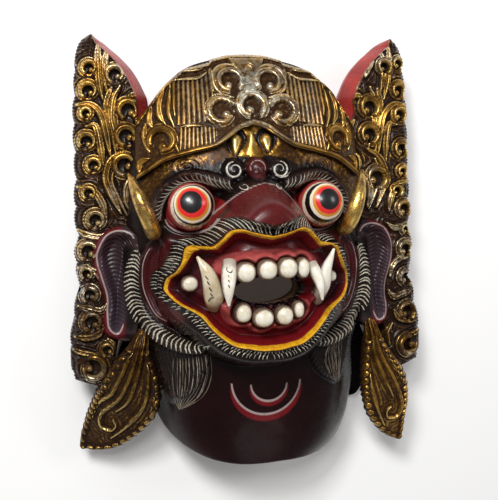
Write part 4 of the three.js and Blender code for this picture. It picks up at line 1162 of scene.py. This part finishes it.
def eyeball(name, side):
    """A lathe-turned eye: the painted rings are set out by radius from its pole."""
    n, m = 96, 60
    ph = np.linspace(0.0, math.pi, m + 2)[1:-1]
    al = np.linspace(0, 2 * math.pi, n, endpoint=False)
    P, A = np.meshgrid(ph, al, indexing="ij")
    cx, cy, cz, r = side * EYE["x"] + (2.6 if side < 0 else -0.4), EYE["y"] - 1.4, EYE["z"], EYE["r"] + 0.1
    X, Y, Z = cx + r * np.sin(P) * np.cos(A), cy + r * np.sin(P) * np.sin(A), cz + (EYE["bulge"] + 0.3) * np.cos(P)
    v, f, lo, up = capped(m, n, np.stack([X, Y, Z], -1))
    px, py = v[:, 0] - cx, v[:, 1] - cy
    offs = {  # pupil, red, orange, cream, black: centre x, y and radius
        -1: [(-2.0, 3.4, 8.2), (-1.2, 2.6, 10.9), (-0.9, 2.0, 12.3), (-0.6, 1.6, 13.8), (0.4, 1.0, 15.2)],
        1: [(2.6, 3.2, 8.2), (2.2, 2.5, 10.7), (1.9, 1.9, 12.2), (1.5, 1.4, 13.8), (0.2, 0.6, 15.3)]}[side]
    rings = [np.hypot(px - a_, py - b_) - c_ for a_, b_, c_ in offs]
    lidline = np.hypot(px, py)
    front = smooth((v[:, 2] - cz + 2) / 4)
    return make_mixed(name, v, f, np.vstack([lo, up]), {
        "pupil": rings[0], "red": rings[1], "orange": rings[2], "cream": rings[3], "black": rings[4], "ring2": lidline, "front": front,
        "low": py})


# --------------------------------------------------------------- brush hair
def slivers(name, items, zfun, stations=6):
    """Raised brush strokes: each a closed tapering sliver lying on the surface.
    items: (line of 2-D points, half width, height, tint)."""
    V, F, T = [], [], []
    base = 0
    for line, hw, ht, tint in items:
        p = fine(line, 0.4) if len(line) < 4 else np.asarray(line)
        d = np.concatenate([[0], np.cumsum(np.hypot(*np.diff(p[:, :2], axis=0).T))])
        u = np.linspace(0, d[-1], stations)
        cx, cy = np.interp(u, d, p[:, 0]), np.interp(u, d, p[:, 1])
        tx, ty = np.gradient(cx), np.gradient(cy)
        l = np.hypot(tx, ty) + 1e-9
        nx, ny = -ty / l, tx / l
        s = u / d[-1]
        w = hw * np.clip(np.minimum(0.45 + 3 * s, 0.18 + 1.9 * (1 - s)), 0.18, 1)
        loop = []
        for off, lift in [(-1, -0.5), (-0.55, 0.75), (0, 1), (0.55, 0.75), (1, -0.5)]:
            x, y = cx + nx * w * off, cy + ny * w * off
            loop.append((x, y, lift * ht * (0.5 + 0.5 * w / hw)))
        for x, y, h in loop:
            T.append((x, y, h))
        n = len(loop)
        idx = base + np.arange(n * stations).reshape(n, stations)
        for i in range(n):
            i1 = (i + 1) % n
            for k in range(stations - 1):
                F.append((idx[i, k], idx[i1, k], idx[i1, k + 1]))
                F.append((idx[i, k], idx[i1, k + 1], idx[i, k + 1]))
        for k, flip in ((0, 1), (stations - 1, 0)):
            for i in range(1, n - 1):
                tri = (idx[0, k], idx[i, k], idx[i + 1, k])
                F.append(tri[::-1] if not flip else tri)
        V.append(np.full(n * stations, tint))
        base += n * stations
    x = np.concatenate([t[0] for t in T])
    y = np.concatenate([t[1] for t in T])
    h = np.concatenate([t[2] for t in T])
    z = zfun(x, y) + h
    return make(name, np.stack([x, y, z], 1), np.array(F), {"tint": np.concatenate(V)})


def head_surface(x, y):
    x = np.asarray(x, float)
    y = np.asarray(y, float)
    z = head_z(x[None], y[None])[0]
    a = np.abs(x)
    q = np.hypot(a, y - CY) - LIP(np.degrees(np.arctan2(y - CY, a)))
    return z


def brow_surface(x, y):
    """The face, or the inner part of the ear where that stands higher."""
    z = head_surface(x, y)
    A, Y = np.abs(np.asarray(x, float)), np.asarray(y, float)
    m = (A > 87) & (A < 104) & (Y > -62) & (Y < 12)
    out = z.copy()
    if m.any():
        A2, Y2 = A[None, m], Y[None, m]
        e = ear_z(A2, Y2, signed(A2, Y2, EAR_LINE))[0]
        ok = A[m] > EAR_IN(Y[m])
        out[m] = np.where(ok, np.maximum(z[m], e), z[m])
    return out


BEARD = [  # left guide, right guide, hairs across, brightness
    ([(-67.1, -80.7), (-67.5, -95.8), (-65.4, -115.3), (-61.5, -124.5)], [(-38.1, -77.0), (-36.6, -93.7), (-43.3, -111.3), (-60.2, -124.6)], 13, 0.62),
    ([(55.0, -76.6), (51.2, -87.2), (56.5, -101.1), (63.4, -107.7)], [(68.4, -69.2), (69.9, -82.9), (68.3, -96.4), (65.5, -107.8)], 10, 0.5)]


def hair():
    items = []

    def between(A, B, count, shift, hw, ht, bend, tint, lo=0.0, hi=1.0, sides=(1, -1), jit=0.2, a0=0.0, a1=1.0):
        n = len(A)
        for k in range(count):
            s = lo + (hi - lo) * (k + 0.5) / count
            for side in sides:
                js = s + rng.uniform(-jit, jit) / count
                i = js * (n - 1)
                j = (js + shift) * (n - 1)
                pa = np.array([np.interp(i, np.arange(n), A[:, c]) for c in (0, 1)])
                pb = np.array([np.interp(np.clip(j, 0, n - 1), np.arange(n), B[:, c]) for c in (0, 1)])
                p0, p1 = pa + (pb - pa) * a0, pa + (pb - pa) * a1
                mid = (p0 + p1) / 2 + np.array([-(p1 - p0)[1], (p1 - p0)[0]]) * bend
                line = np.array([p0, mid, p1]) * [(-side if side > 0 else 1), 1]
                items.append((line, hw * rng.uniform(0.85, 1.15), ht, tint * rng.uniform(0.8, 1.0)))

    # brow hairs, from the outer edge slanting towards the nose
    between(BROW_A, BROW_B, 23, 0.08, 0.62, 0.75, -0.16, 0.55, 0.0, 0.95, a0=0.04, a1=0.98)
    # whisker roll: bold curved bars
    between(WHISK_A, WHISK_B, 34, 0.03, 0.80, 1.1, 0.26, 0.9, 0.0, 1.0, a0=0.0, a1=1.0)
    # fringe round the lips
    for side in (1, -1):
        deg = -89.0
        while deg < 89:
            t = math.radians(deg)
            rl = float(LIP(deg))
            w = float(FRINGE_W(deg))
            step = math.degrees(2.75 / (rl + 4))
            lean = 0.55 if deg > 55 else (0.32 if deg > 15 else 0.12 if deg > -25 else -0.28)
            two = deg < 20
            rows_ = [(1.6, w * 0.52), (w * 0.50, w)] if two else [(1.3, w)]
            for ri, (q0, q1) in enumerate(rows_):
                dj = rng.uniform(-0.25, 0.25) * step + (0.5 * step if ri else 0)
                ta, tb = math.radians(deg + dj), math.radians(deg + dj - math.degrees(lean * (q1 - q0) / (rl + 6)))
                ra, rb = float(LIP(math.degrees(ta))) + q0, float(LIP(math.degrees(tb))) + q1
                p0 = np.array([ra * math.cos(ta), CY + ra * math.sin(ta)])
                p1 = np.array([rb * math.cos(tb), CY + rb * math.sin(tb)])
                mid = (p0 + p1) / 2 + np.array([-(p1 - p0)[1], (p1 - p0)[0]]) * 0.10
                line = np.array([p0, mid, p1]) * [side, 1]
                items.append((line, 0.42 * rng.uniform(0.75, 1.2), 0.65, rng.uniform(0.65, 1.0)))
            deg += step
    # beard locks: long curved hairs drawn together at the tip
    for left, right, count, tint in BEARD:
        L, R = fine(left, 0.5), fine(right, 0.5)
        for k in range(count):
            u = (k + 0.5 + rng.uniform(-0.25, 0.25)) / count
            t = np.linspace(0, 1, 12)
            a_ = np.stack([np.interp(t * (len(L) - 1), np.arange(len(L)), L[:, c]) for c in (0, 1)], 1)
            b_ = np.stack([np.interp(t * (len(R) - 1), np.arange(len(R)), R[:, c]) for c in (0, 1)], 1)
            whole = a_ + (b_ - a_) * u
            for lo_, hi_ in ((0, 6), (5, 12)) if k % 2 else ((0, 4), (3, 9), (8, 12)):
                part = whole[lo_:hi_] + rng.uniform(-0.35, 0.35, 2)
                items.append((part, 0.46 * rng.uniform(0.7, 1.2), 0.6, tint * rng.uniform(0.35, 1.0)))
    return items


# ---------------------------------------------------------------- materials
class Nodes:
    def __init__(self, name):
        self.mat = bpy.data.materials.new(name)
        self.mat.use_nodes = True
        self.t = self.mat.node_tree
        self.t.nodes.clear()
        self.out = self.t.nodes.new("ShaderNodeOutputMaterial")
        self.bsdf = self.t.nodes.new("ShaderNodeBsdfPrincipled")
        self.t.links.new(self.bsdf.outputs[0], self.out.inputs[0])
        self.co = self.t.nodes.new("ShaderNodeTexCoord").outputs["Object"]

    def link(self, a, b):
        self.t.links.new(a, b)

    def set(self, socket, value):
        if isinstance(value, bpy.types.NodeSocket):
            self.link(value, socket)
        elif hasattr(value, "__len__"):
            socket.default_value = tuple(float(c) for c in value) + ((1.0,) if len(value) == 3 and socket.type == "RGBA" else ())
        else:
            socket.default_value = value

    def attr(self, name, color=False):
        n = self.t.nodes.new("ShaderNodeAttribute")
        n.attribute_name = name
        return n.outputs["Color" if color else "Fac"]

    def noise(self, scale, detail=3, rough=0.55, distort=0.0, dims=(1, 1, 1), color=False):
        m = self.t.nodes.new("ShaderNodeMapping")
        m.inputs["Scale"].default_value = dims
        self.link(self.co, m.inputs["Vector"])
        n = self.t.nodes.new("ShaderNodeTexNoise")
        n.inputs["Scale"].default_value = scale
        n.inputs["Detail"].default_value = detail
        n.inputs["Roughness"].default_value = rough
        n.inputs["Distortion"].default_value = distort
        self.link(m.outputs[0], n.inputs["Vector"])
        return n.outputs["Color" if color else "Fac"]

    def math(self, op, a, b=0.0, c=None, clamp=False):
        n = self.t.nodes.new("ShaderNodeMath")
        n.operation = op
        n.use_clamp = clamp
        self.set(n.inputs[0], a)
        self.set(n.inputs[1], b)
        if c is not None:
            self.set(n.inputs[2], c)
        return n.outputs[0]

    def ramp(self, v, a, b, lo=0.0, hi=1.0):
        n = self.t.nodes.new("ShaderNodeMapRange")
        n.interpolation_type = "SMOOTHSTEP"
        self.set(n.inputs["Value"], v)
        n.inputs["From Min"].default_value = a
        n.inputs["From Max"].default_value = b
        n.inputs["To Min"].default_value = lo
        n.inputs["To Max"].default_value = hi
        return n.outputs[0]

    def mix(self, f, a, b, mode="MIX"):
        n = self.t.nodes.new("ShaderNodeMix")
        n.data_type = "RGBA"
        n.blend_type = mode
        n.clamp_factor = True
        self.set(n.inputs["Factor"], f)
        self.set(n.inputs["A"], a)
        self.set(n.inputs["B"], b)
        return n.outputs["Result"]

    def bump(self, h, strength, dist, normal=None):
        n = self.t.nodes.new("ShaderNodeBump")
        n.inputs["Strength"].default_value = strength
        n.inputs["Distance"].default_value = dist
        self.link(h, n.inputs["Height"])
        if normal is not None:
            self.link(normal, n.inputs["Normal"])
        return n.outputs[0]

    def to(self, socket, value):
        self.set(self.bsdf.inputs[socket], value)


def carved_material():
    """Lacquered paint, worn gold leaf and, inside, bare wood, chosen by the carving."""
    n = Nodes("painted gilded wood")
    paint, gold, cav = n.attr("paint", True), n.attr("gold"), n.attr("cav")
    lipq, raw, line, pale, dulled = n.attr("lipq"), n.attr("rawwood"), n.attr("line"), n.attr("pale"), n.attr("dulled")
    blot = n.noise(70, 4, 0.6)
    mott = n.noise(330, 4, 0.65)
    speck = n.noise(1500, 3, 0.6)
    # paint: mottled lacquer, with painted shade darkening the hollows and a little painted light on the raised parts;
    # rubbed on the high edges
    tone = n.math("MULTIPLY_ADD", blot, 0.75, 0.5)
    tone = n.math("MULTIPLY", tone, n.math("MULTIPLY_ADD", mott, 0.4, 0.8))
    tone = n.math("MULTIPLY", tone, n.ramp(cav, -0.2, 0.75, 1.1, 0.42))
    grey = n.mix(1.0, paint, tone, "MULTIPLY")
    rub = n.math("MULTIPLY", n.ramp(cav, -0.25, -0.8, 0.0, 1.0), n.ramp(mott, 0.5, 0.68))
    col = n.mix(n.math("MULTIPLY", rub, 0.5), grey, srgb(128, 84, 66))
    # lip line in ochre yellow
    wob = n.math("MULTIPLY_ADD", n.math("SUBTRACT", blot, 0.5), 1.2, lipq)
    lm = n.math("MULTIPLY", n.ramp(wob, -2.5, -1.9), n.ramp(wob, 0.75, 0.25))
    yel = n.mix(n.ramp(mott, 0.35, 0.7), srgb(196, 132, 18), srgb(226, 176, 38))
    yel = n.mix(n.ramp(blot, 0.62, 0.78, 0.0, 0.45), yel, srgb(120, 70, 20))
    col = n.mix(lm, col, yel)
    # thin pale brush lines
    pl = n.math("MULTIPLY", n.ramp(line, 0.95, 0.5), n.ramp(mott, 0.28, 0.42))
    col = n.mix(n.math("MULTIPLY", pl, 0.85), col, srgb(168, 150, 146))
    # gold leaf: broken at its edges, thin and brown where it has rubbed, and dimmer and browner where the piece asks
    # for it (towards the wings' bottom, on the left leaf)
    gm = n.math("ADD", gold, n.math("MULTIPLY", n.math("SUBTRACT", mott, 0.5), 1.15))
    gm = n.math("ADD", gm, n.math("MULTIPLY", n.math("SUBTRACT", speck, 0.5), 0.6))
    gm = n.math("ADD", gm, n.math("MULTIPLY", dulled, -0.17))
    gmask = n.math("MULTIPLY", n.ramp(gm, 0.40, 0.62), n.ramp(gold, 0.04, 0.16))
    thin = n.math("MULTIPLY", n.ramp(gm, 0.05, 0.42), n.ramp(gold, 0.02, 0.10))
    col = n.mix(n.math("MULTIPLY", thin, 0.75), col, srgb(78, 50, 22))
    warm = n.mix(n.ramp(blot, 0.36, 0.64), srgb(100, 68, 26), srgb(182, 138, 62))
    warm = n.mix(n.math("MULTIPLY", dulled, n.ramp(mott, 0.68, 0.44)), warm, srgb(66, 42, 18))
    # painted highlight: paler gold on the raised parts; whitened gold where the pale attribute asks, a painted
    # reflection on the crown and painted highlights on the wings
    warm = n.mix(n.ramp(cav, -0.2, -0.85), warm, srgb(228, 196, 120))
    warm = n.mix(n.math("MULTIPLY", pale, n.ramp(mott, 0.36, 0.60)), warm, srgb(234, 230, 212))
    col = n.mix(gmask, col, warm)
    # bare wood of the hollow
    grain = n.noise(260, 5, 0.6, 0.8, (1, 0.09, 1))
    wood = n.mix(n.ramp(grain, 0.3, 0.72), srgb(126, 88, 54), srgb(186, 148, 104))
    wood = n.mix(n.ramp(blot, 0.5, 0.8, 0.0, 0.4), wood, srgb(90, 60, 38))
    col = n.mix(raw, col, wood)
    n.to("Base Color", col)
    metal = n.math("MULTIPLY", n.math("MAXIMUM", n.math("MULTIPLY", gmask, 0.9), n.math("MULTIPLY", thin, 0.45)), n.math("SUBTRACT", 1.0, raw))
    n.to("Metallic", metal)
    rough = n.math("MULTIPLY_ADD", mott, 0.26, 0.14)
    rg = n.math("MULTIPLY_ADD", speck, 0.28, 0.16)
    rmix = n.t.nodes.new("ShaderNodeMix")
    n.set(rmix.inputs[0], gmask)
    n.set(rmix.inputs[2], rough)
    n.set(rmix.inputs[3], rg)
    rw = n.math("MAXIMUM", rmix.outputs[0], n.math("MULTIPLY", raw, 0.72))
    n.to("Roughness", rw)
    n.to("Coat Weight", 0.05)
    n.to("Coat Roughness", 0.12)
    n.to("Specular IOR Level", 0.17)
    h = n.math("ADD", n.math("MULTIPLY", mott, 0.55), n.math("MULTIPLY", speck, 0.35))
    h = n.math("ADD", h, n.math("MULTIPLY", grain, n.math("MULTIPLY", raw, 0.8)))
    b = n.bump(h, 0.35, 0.0006)
    n.to("Normal", b)
    return n.mat


def ivory_material():
    n = Nodes("ivory paint")
    rim = n.attr("rim")
    blot, mott = n.noise(160, 4, 0.6), n.noise(620, 4, 0.65, 0.4)
    streak = n.noise(420, 4, 0.6, 0.6, (1, 0.25, 1))
    base = n.mix(n.ramp(blot, 0.35, 0.7), srgb(236, 230, 214), srgb(214, 202, 176))
    base = n.mix(n.ramp(streak, 0.55, 0.8, 0.0, 0.35), base, srgb(170, 144, 108))
    # painted shade: each tooth turns brown towards its sides, broken by mottling
    g = n.math("ADD", rim, n.math("MULTIPLY", n.math("SUBTRACT", mott, 0.5), 0.9))
    base = n.mix(n.ramp(g, 0.25, 1.0, 0.0, 0.9), base, srgb(92, 58, 36))
    n.to("Base Color", base)
    n.to("Roughness", n.math("MULTIPLY_ADD", mott, 0.2, 0.2))
    n.to("Coat Weight", 0.3)
    n.to("Coat Roughness", 0.15)
    n.to("Subsurface Weight", 0.06)
    n.to("Subsurface Radius", (0.002, 0.0012, 0.0008))
    n.to("Normal", n.bump(n.math("ADD", n.math("MULTIPLY", mott, 0.5), n.math("MULTIPLY", streak, 0.5)), 0.25, 0.0005))
    return n.mat


def tusk_material(marked):
    n = Nodes("tusk ivory" + (" marked" if marked else ""))
    share, acro = n.attr("share"), n.attr("acro")
    blot, mott = n.noise(150, 4, 0.6), n.noise(560, 4, 0.65, 0.5)
    streak = n.noise(300, 4, 0.6, 0.5, (1.0, 0.3, 1.0))
    lo, hi = (srgb(196, 176, 140), srgb(228, 216, 190)) if marked == 2 else (srgb(226, 216, 196), srgb(244, 240, 228))
    base = n.mix(n.ramp(blot, 0.3, 0.7), hi, lo)
    base = n.mix(n.ramp(streak, 0.5, 0.78, 0.0, 0.5 if marked == 2 else 0.28), base, srgb(140, 106, 70))
    # painted shade: darker brown towards the root, where the tusk goes into the mouth
    root = n.math("ADD", share, n.math("MULTIPLY", n.math("SUBTRACT", mott, 0.5), 0.25))
    base = n.mix(n.ramp(root, 0.34, 0.12, 0.0, 0.55), base, srgb(96, 60, 38))
    # painted shade: darker brown towards the sides as seen from the front
    edge = n.math("ADD", n.math("ABSOLUTE", acro), n.math("MULTIPLY", n.math("SUBTRACT", mott, 0.5), 0.3))
    base = n.mix(n.ramp(edge, 0.72, 1.0, 0.0, 0.75), base, srgb(92, 62, 40))
    n.to("Base Color", base)
    n.to("Roughness", n.math("MULTIPLY_ADD", mott, 0.2, 0.2))
    n.to("Coat Weight", 0.3)
    n.to("Coat Roughness", 0.15)
    n.to("Normal", n.bump(n.math("ADD", n.math("MULTIPLY", mott, 0.5), n.math("MULTIPLY", streak, 0.6)), 0.25, 0.0005))
    return n.mat


def horn_material():
    n = Nodes("gilded horn")
    acro = n.attr("acro")
    blot, mott, speck = n.noise(90, 4, 0.6), n.noise(420, 5, 0.7, 0.3), n.noise(1500, 3, 0.6)
    gm = n.math("ADD", n.math("MULTIPLY", mott, 0.6), n.math("MULTIPLY", blot, 0.5))
    mask = n.ramp(gm, 0.40, 0.52)
    gold = n.mix(n.ramp(blot, 0.35, 0.62), srgb(146, 100, 34), srgb(226, 186, 92))
    gold = n.mix(n.ramp(speck, 0.52, 0.7, 0.0, 0.5), gold, srgb(238, 228, 190))
    n.to("Base Color", n.mix(mask, srgb(58, 30, 16), gold))
    n.to("Metallic", n.math("MULTIPLY", mask, 0.92))
    n.to("Roughness", n.math("MULTIPLY_ADD", speck, 0.28, 0.14))
    n.to("Coat Weight", 0.3)
    n.to("Coat Roughness", 0.15)
    n.to("Normal", n.bump(n.math("ADD", n.math("MULTIPLY", mott, 0.6), n.math("MULTIPLY", speck, 0.3)), 0.4, 0.0007))
    return n.mat


def eye_material():
    n = Nodes("painted eye")
    ring2, front, low = n.attr("ring2"), n.attr("front"), n.attr("low")
    mott = n.noise(500, 4, 0.6, 0.5)
    wob = n.math("MULTIPLY", n.math("SUBTRACT", n.noise(180, 2, 0.5), 0.5), 0.9)

    def ring(name):
        return n.ramp(n.math("ADD", n.attr(name), wob), 0.22, -0.22)

    white = n.mix(n.ramp(mott, 0.4, 0.75), srgb(226, 214, 192), srgb(186, 158, 124))
    # painted shade: the white browns in patches towards the eye's lower edge
    white = n.mix(n.math("MULTIPLY", n.ramp(low, -9.0, -15.0), n.ramp(mott, 0.35, 0.6)), white, srgb(120, 84, 62))
    col = n.mix(n.ramp(ring2, 16.2, 17.0, 0.0, 0.95), white, srgb(168, 32, 34))
    col = n.mix(ring("black"), col, srgb(12, 10, 10))
    col = n.mix(ring("cream"), col, srgb(236, 222, 198))
    col = n.mix(ring("orange"), col, srgb(206, 140, 40))
    col = n.mix(ring("red"), col, srgb(222, 40, 42))
    col = n.mix(ring("pupil"), col, srgb(22, 20, 22))
    # painted shade: the eyeball darkens where it sinks in under the lid
    col = n.mix(n.ramp(front, 0.5, 0.2), col, srgb(40, 20, 18))
    n.to("Base Color", col)
    n.to("Roughness", n.math("MULTIPLY_ADD", mott, 0.16, 0.22))
    n.to("Coat Weight", 0.35)
    n.to("Coat Roughness", 0.12)
    n.to("Normal", n.bump(mott, 0.12, 0.0004))
    return n.mat


def hair_material():
    n = Nodes("brush strokes")
    tint = n.attr("tint")
    mott, speck = n.noise(700, 3, 0.6), n.noise(2200, 2, 0.5)
    dulled = n.mix(n.ramp(mott, 0.3, 0.62), srgb(120, 104, 86), srgb(226, 218, 196))
    col = n.mix(n.ramp(tint, 0.25, 1.0), srgb(104, 92, 78), dulled)
    n.to("Base Color", col)
    n.to("Roughness", n.math("MULTIPLY_ADD", speck, 0.25, 0.28))
    n.to("Coat Weight", 0.2)
    n.to("Coat Roughness", 0.2)
    return n.mat


def ink_material():
    n = Nodes("black ink line")
    mott = n.noise(900, 3, 0.6)
    n.to("Base Color", n.mix(n.ramp(mott, 0.4, 0.7), srgb(12, 10, 10), srgb(40, 30, 26)))
    n.to("Roughness", n.math("MULTIPLY_ADD", mott, 0.2, 0.3))
    return n.mat


def curl_material():
    n = Nodes("curled mark white")
    mott = n.noise(600, 3, 0.6)
    n.to("Base Color", n.mix(n.ramp(mott, 0.35, 0.7), srgb(226, 220, 206), srgb(150, 138, 126)))
    n.to("Roughness", n.math("MULTIPLY_ADD", mott, 0.2, 0.28))
    n.to("Coat Weight", 0.2)
    n.to("Coat Roughness", 0.2)
    return n.mat


# ------------------------------------------------------------------ assembly
CARVED, IVORY = carved_material(), ivory_material()
HORNMAT, EYEMAT, HAIRMAT, INK, CURL = horn_material(), eye_material(), hair_material(), ink_material(), curl_material()


def put(obj, mat, replaces=()):
    obj.data.materials.append(mat)
    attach(obj, "root")
    if replaces:
        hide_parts(*replaces)
    return obj


head = put(build_head(), CARVED, ["mask"])
put(build_crown(), CARVED)
for side in (1, -1):
    put(build_wing(side), CARVED)
    put(build_ear(side), CARVED)
    put(build_leaf(side), CARVED)
    put(eyeball(f"eye_{'right' if side > 0 else 'left'}", side), EYEMAT)
for i, (x, y, z, rx, ry) in enumerate(TEETH):
    put(tooth(f"tooth_{'upper' if i < 4 else 'lower'}_{i % 4 + 1}", x, y, z - 3.0, rx, ry), IVORY)
put(tooth("molar_left", -54.5, -21.0, 100, 6.4, 6.0, 7.5), IVORY)
put(tooth("molar_right", 52.8, -19.5, 100, 4.4, 4.8, 7.5), IVORY)

for side, word in ((-1, "left"), (1, "right")):
    o, *_ = peg(f"horn_{word}_gilt", HORN[side], HORN_R, 90, 40)
    put(o, HORNMAT, [f"horn_{word}"])
    marked = 1 if side < 0 else 0
    o, C1, r1, S1 = peg(f"tusk_upper_{word}", UPPER[side], UPPER_R[side])
    put(o, tusk_material(marked), [f"upper_tusk_{word}"])
    o, C2, r2, S2 = peg(f"tusk_lower_{word}", LOWER[side], LOWER_R[side], flat=0.8)
    put(o, tusk_material(2 if side < 0 else 0), [f"lower_tusk_{word}"])
    if side < 0:
        C1L, r1L, C2L, r2L = C1, r1, C2, r2

put(slivers("painted_hair", hair(), brow_surface), HAIRMAT)

# white curls on the two forehead knobs
curls = []
for side in (1, -1):
    c = scroll(side * 17.5, 62.3, 6.2, 95 if side < 0 else 85, 1.55, 0.12, 1 if side < 0 else -1)
    curls.append((c[::-1] if False else c, 0.95, 0.9, 1.0))
    c2 = scroll(side * 13, 49.5, 2.8, 180 if side < 0 else 0, 0.9, 0.3, -side)
    curls.append((c2, 0.45, 0.4, 0.5))
curls.append((np.array([(13.6, 57.8), (17.6, 56.0), (22.6, 57.2), (26.6, 60.6)]), 0.6, 0.7, 0.8))  # tail towards the right brow
put(slivers("curl_marks", curls, head_surface, 60), CURL)


def tusk_top(*parts):
    """Front surface over one or more tusks, for the brush marks on them."""
    def z(x, y):
        best = np.full(np.shape(x), -99.0)
        for C_, r_, flat in parts:
            d = np.hypot(x[:, None] - C_[:, 0], y[:, None] - C_[:, 1])
            i = d.argmin(1)
            dd = d.min(1)
            best = np.maximum(best, C_[i, 2] + flat * np.sqrt(np.maximum(r_[i] ** 2 - dd**2, 0)))
        return best
    return z


marks = []
for (x0_, y0_), ln_ in (((-45.6, -14.9), 2.6), ((-44.4, -18.8), 2.8), ((-43.0, -23.4), 2.8), ((-42.2, -27.4), 2.4)):
    marks.append((np.array([(x0_ - 0.5, y0_ + ln_ / 2), (x0_ + 0.2, y0_), (x0_ + 1.6, y0_ - ln_ / 2)]), 0.55, 1.5, 0.0))
marks.append((scroll(-40.4, -32.6, 3.2, 80, 1.5, 0.1, 1), 0.55, 2.2, 0.0))
put(slivers("tusk_marks_lower", marks, tusk_top((C2L, r2L, 0.8)), 40), INK)
marks = []
for (x0_, y0_), ln_ in (((-31.3, -13.6), 1.8), ((-31.4, -16.9), 1.8), ((-31.5, -20.6), 2.0)):
    marks.append((np.array([(x0_ - 0.4, y0_ + ln_ / 2), (x0_ + 0.2, y0_), (x0_ + 0.1, y0_ - ln_ / 2)]), 0.5, 1.1, 0.0))
marks.append((scroll(-29.9, -9.0, 2.4, 80, 1.4, 0.1, 1), 0.5, 1.9, 0.0))
put(slivers("tusk_marks_upper", marks, tusk_top((C1L, r1L, 1.0)), 40), INK)

# ------------------------------------------------------- stage and camera
floor_mesh = bpy.data.meshes.new("floor")
s_ = 6.0
floor_mesh.from_pydata([(-s_, -s_, -0.0005), (s_, -s_, -0.0005), (s_, s_, -0.0005), (-s_, s_, -0.0005)], [], [(0, 1, 2, 3)])
floor = bpy.data.objects.new("floor", floor_mesh)
bpy.context.scene.collection.objects.link(floor)
fm = bpy.data.materials.new("pale floor")
fm.use_nodes = True
fm.node_tree.nodes["Principled BSDF"].inputs["Base Color"].default_value = (0.98, 0.98, 0.975, 1)
fm.node_tree.nodes["Principled BSDF"].inputs["Roughness"].default_value = 0.9
fm.node_tree.nodes["Principled BSDF"].inputs["Specular IOR Level"].default_value = 0.1
fm.node_tree.nodes["Principled BSDF"].inputs["Emission Color"].default_value = (1, 0.85, 0.75, 1)
fm.node_tree.nodes["Principled BSDF"].inputs["Emission Strength"].default_value = 0.03
floor_mesh.materials.append(fm)

YAW, PITCH, ROLL = math.radians(11.0), math.radians(3.0), math.radians(-1.5)
DIST, FOCUS_Z = 620.0, 60.0
C = Vector((-math.sin(YAW) * math.cos(PITCH), math.sin(PITCH), math.cos(YAW) * math.cos(PITCH)))
right = Vector((0, 1, 0)).cross(C).normalized()
upv = C.cross(right)
r2 = math.cos(ROLL) * right + math.sin(ROLL) * upv
u2 = -math.sin(ROLL) * right + math.cos(ROLL) * upv
eye = (Vector((FACE[0], 0, FOCUS_Z)) + C * DIST) * 0.001
cam_data = bpy.data.cameras.new("camera")
cam = bpy.data.objects.new("camera", cam_data)
bpy.context.scene.collection.objects.link(cam)
m = Matrix((r2, u2, C)).transposed().to_4x4()
m.translation = eye
cam.matrix_world = m
cam_data.sensor_width = 36.0
cam_data.lens = 36.0 * (DIST / 0.8) / 500.0
cam_data.shift_x = -2.0 / 500
cam_data.shift_y = 0.0
cam_data.clip_start, cam_data.clip_end = 0.01, 50
bpy.context.scene.camera = cam


def area(name, loc, target, size, power, color=(1, 1, 1)):
    d = bpy.data.lights.new(name, "AREA")
    d.energy = power
    d.size = size
    d.color = color
    o = bpy.data.objects.new(name, d)
    bpy.context.scene.collection.objects.link(o)
    o.location = loc
    o.rotation_mode = "QUATERNION"
    o.rotation_quaternion = (Vector(target) - Vector(loc)).to_track_quat("-Z", "Y")
    return o


area("key", (-0.45, 0.70, 1.05), (0, 0.02, 0.05), 0.30, 12)
area("front", (-0.25, 0.62, 1.45), (0, 0, 0.05), 0.35, 6.5)
area("fill", (0.95, 0.35, 0.85), (0, 0, 0.05), 0.35, 2.4)
area("low", (0.15, -1.0, 0.8), (0, 0, 0.05), 0.5, 0.7)
world = bpy.data.worlds.new("studio")
bpy.context.scene.world = world
world.use_nodes = True
world.node_tree.nodes["Background"].inputs[0].default_value = (1, 1, 1, 1)
world.node_tree.nodes["Background"].inputs[1].default_value = 0.24
try:
    bpy.context.scene.view_settings.view_transform = "Standard"
except TypeError:
    pass
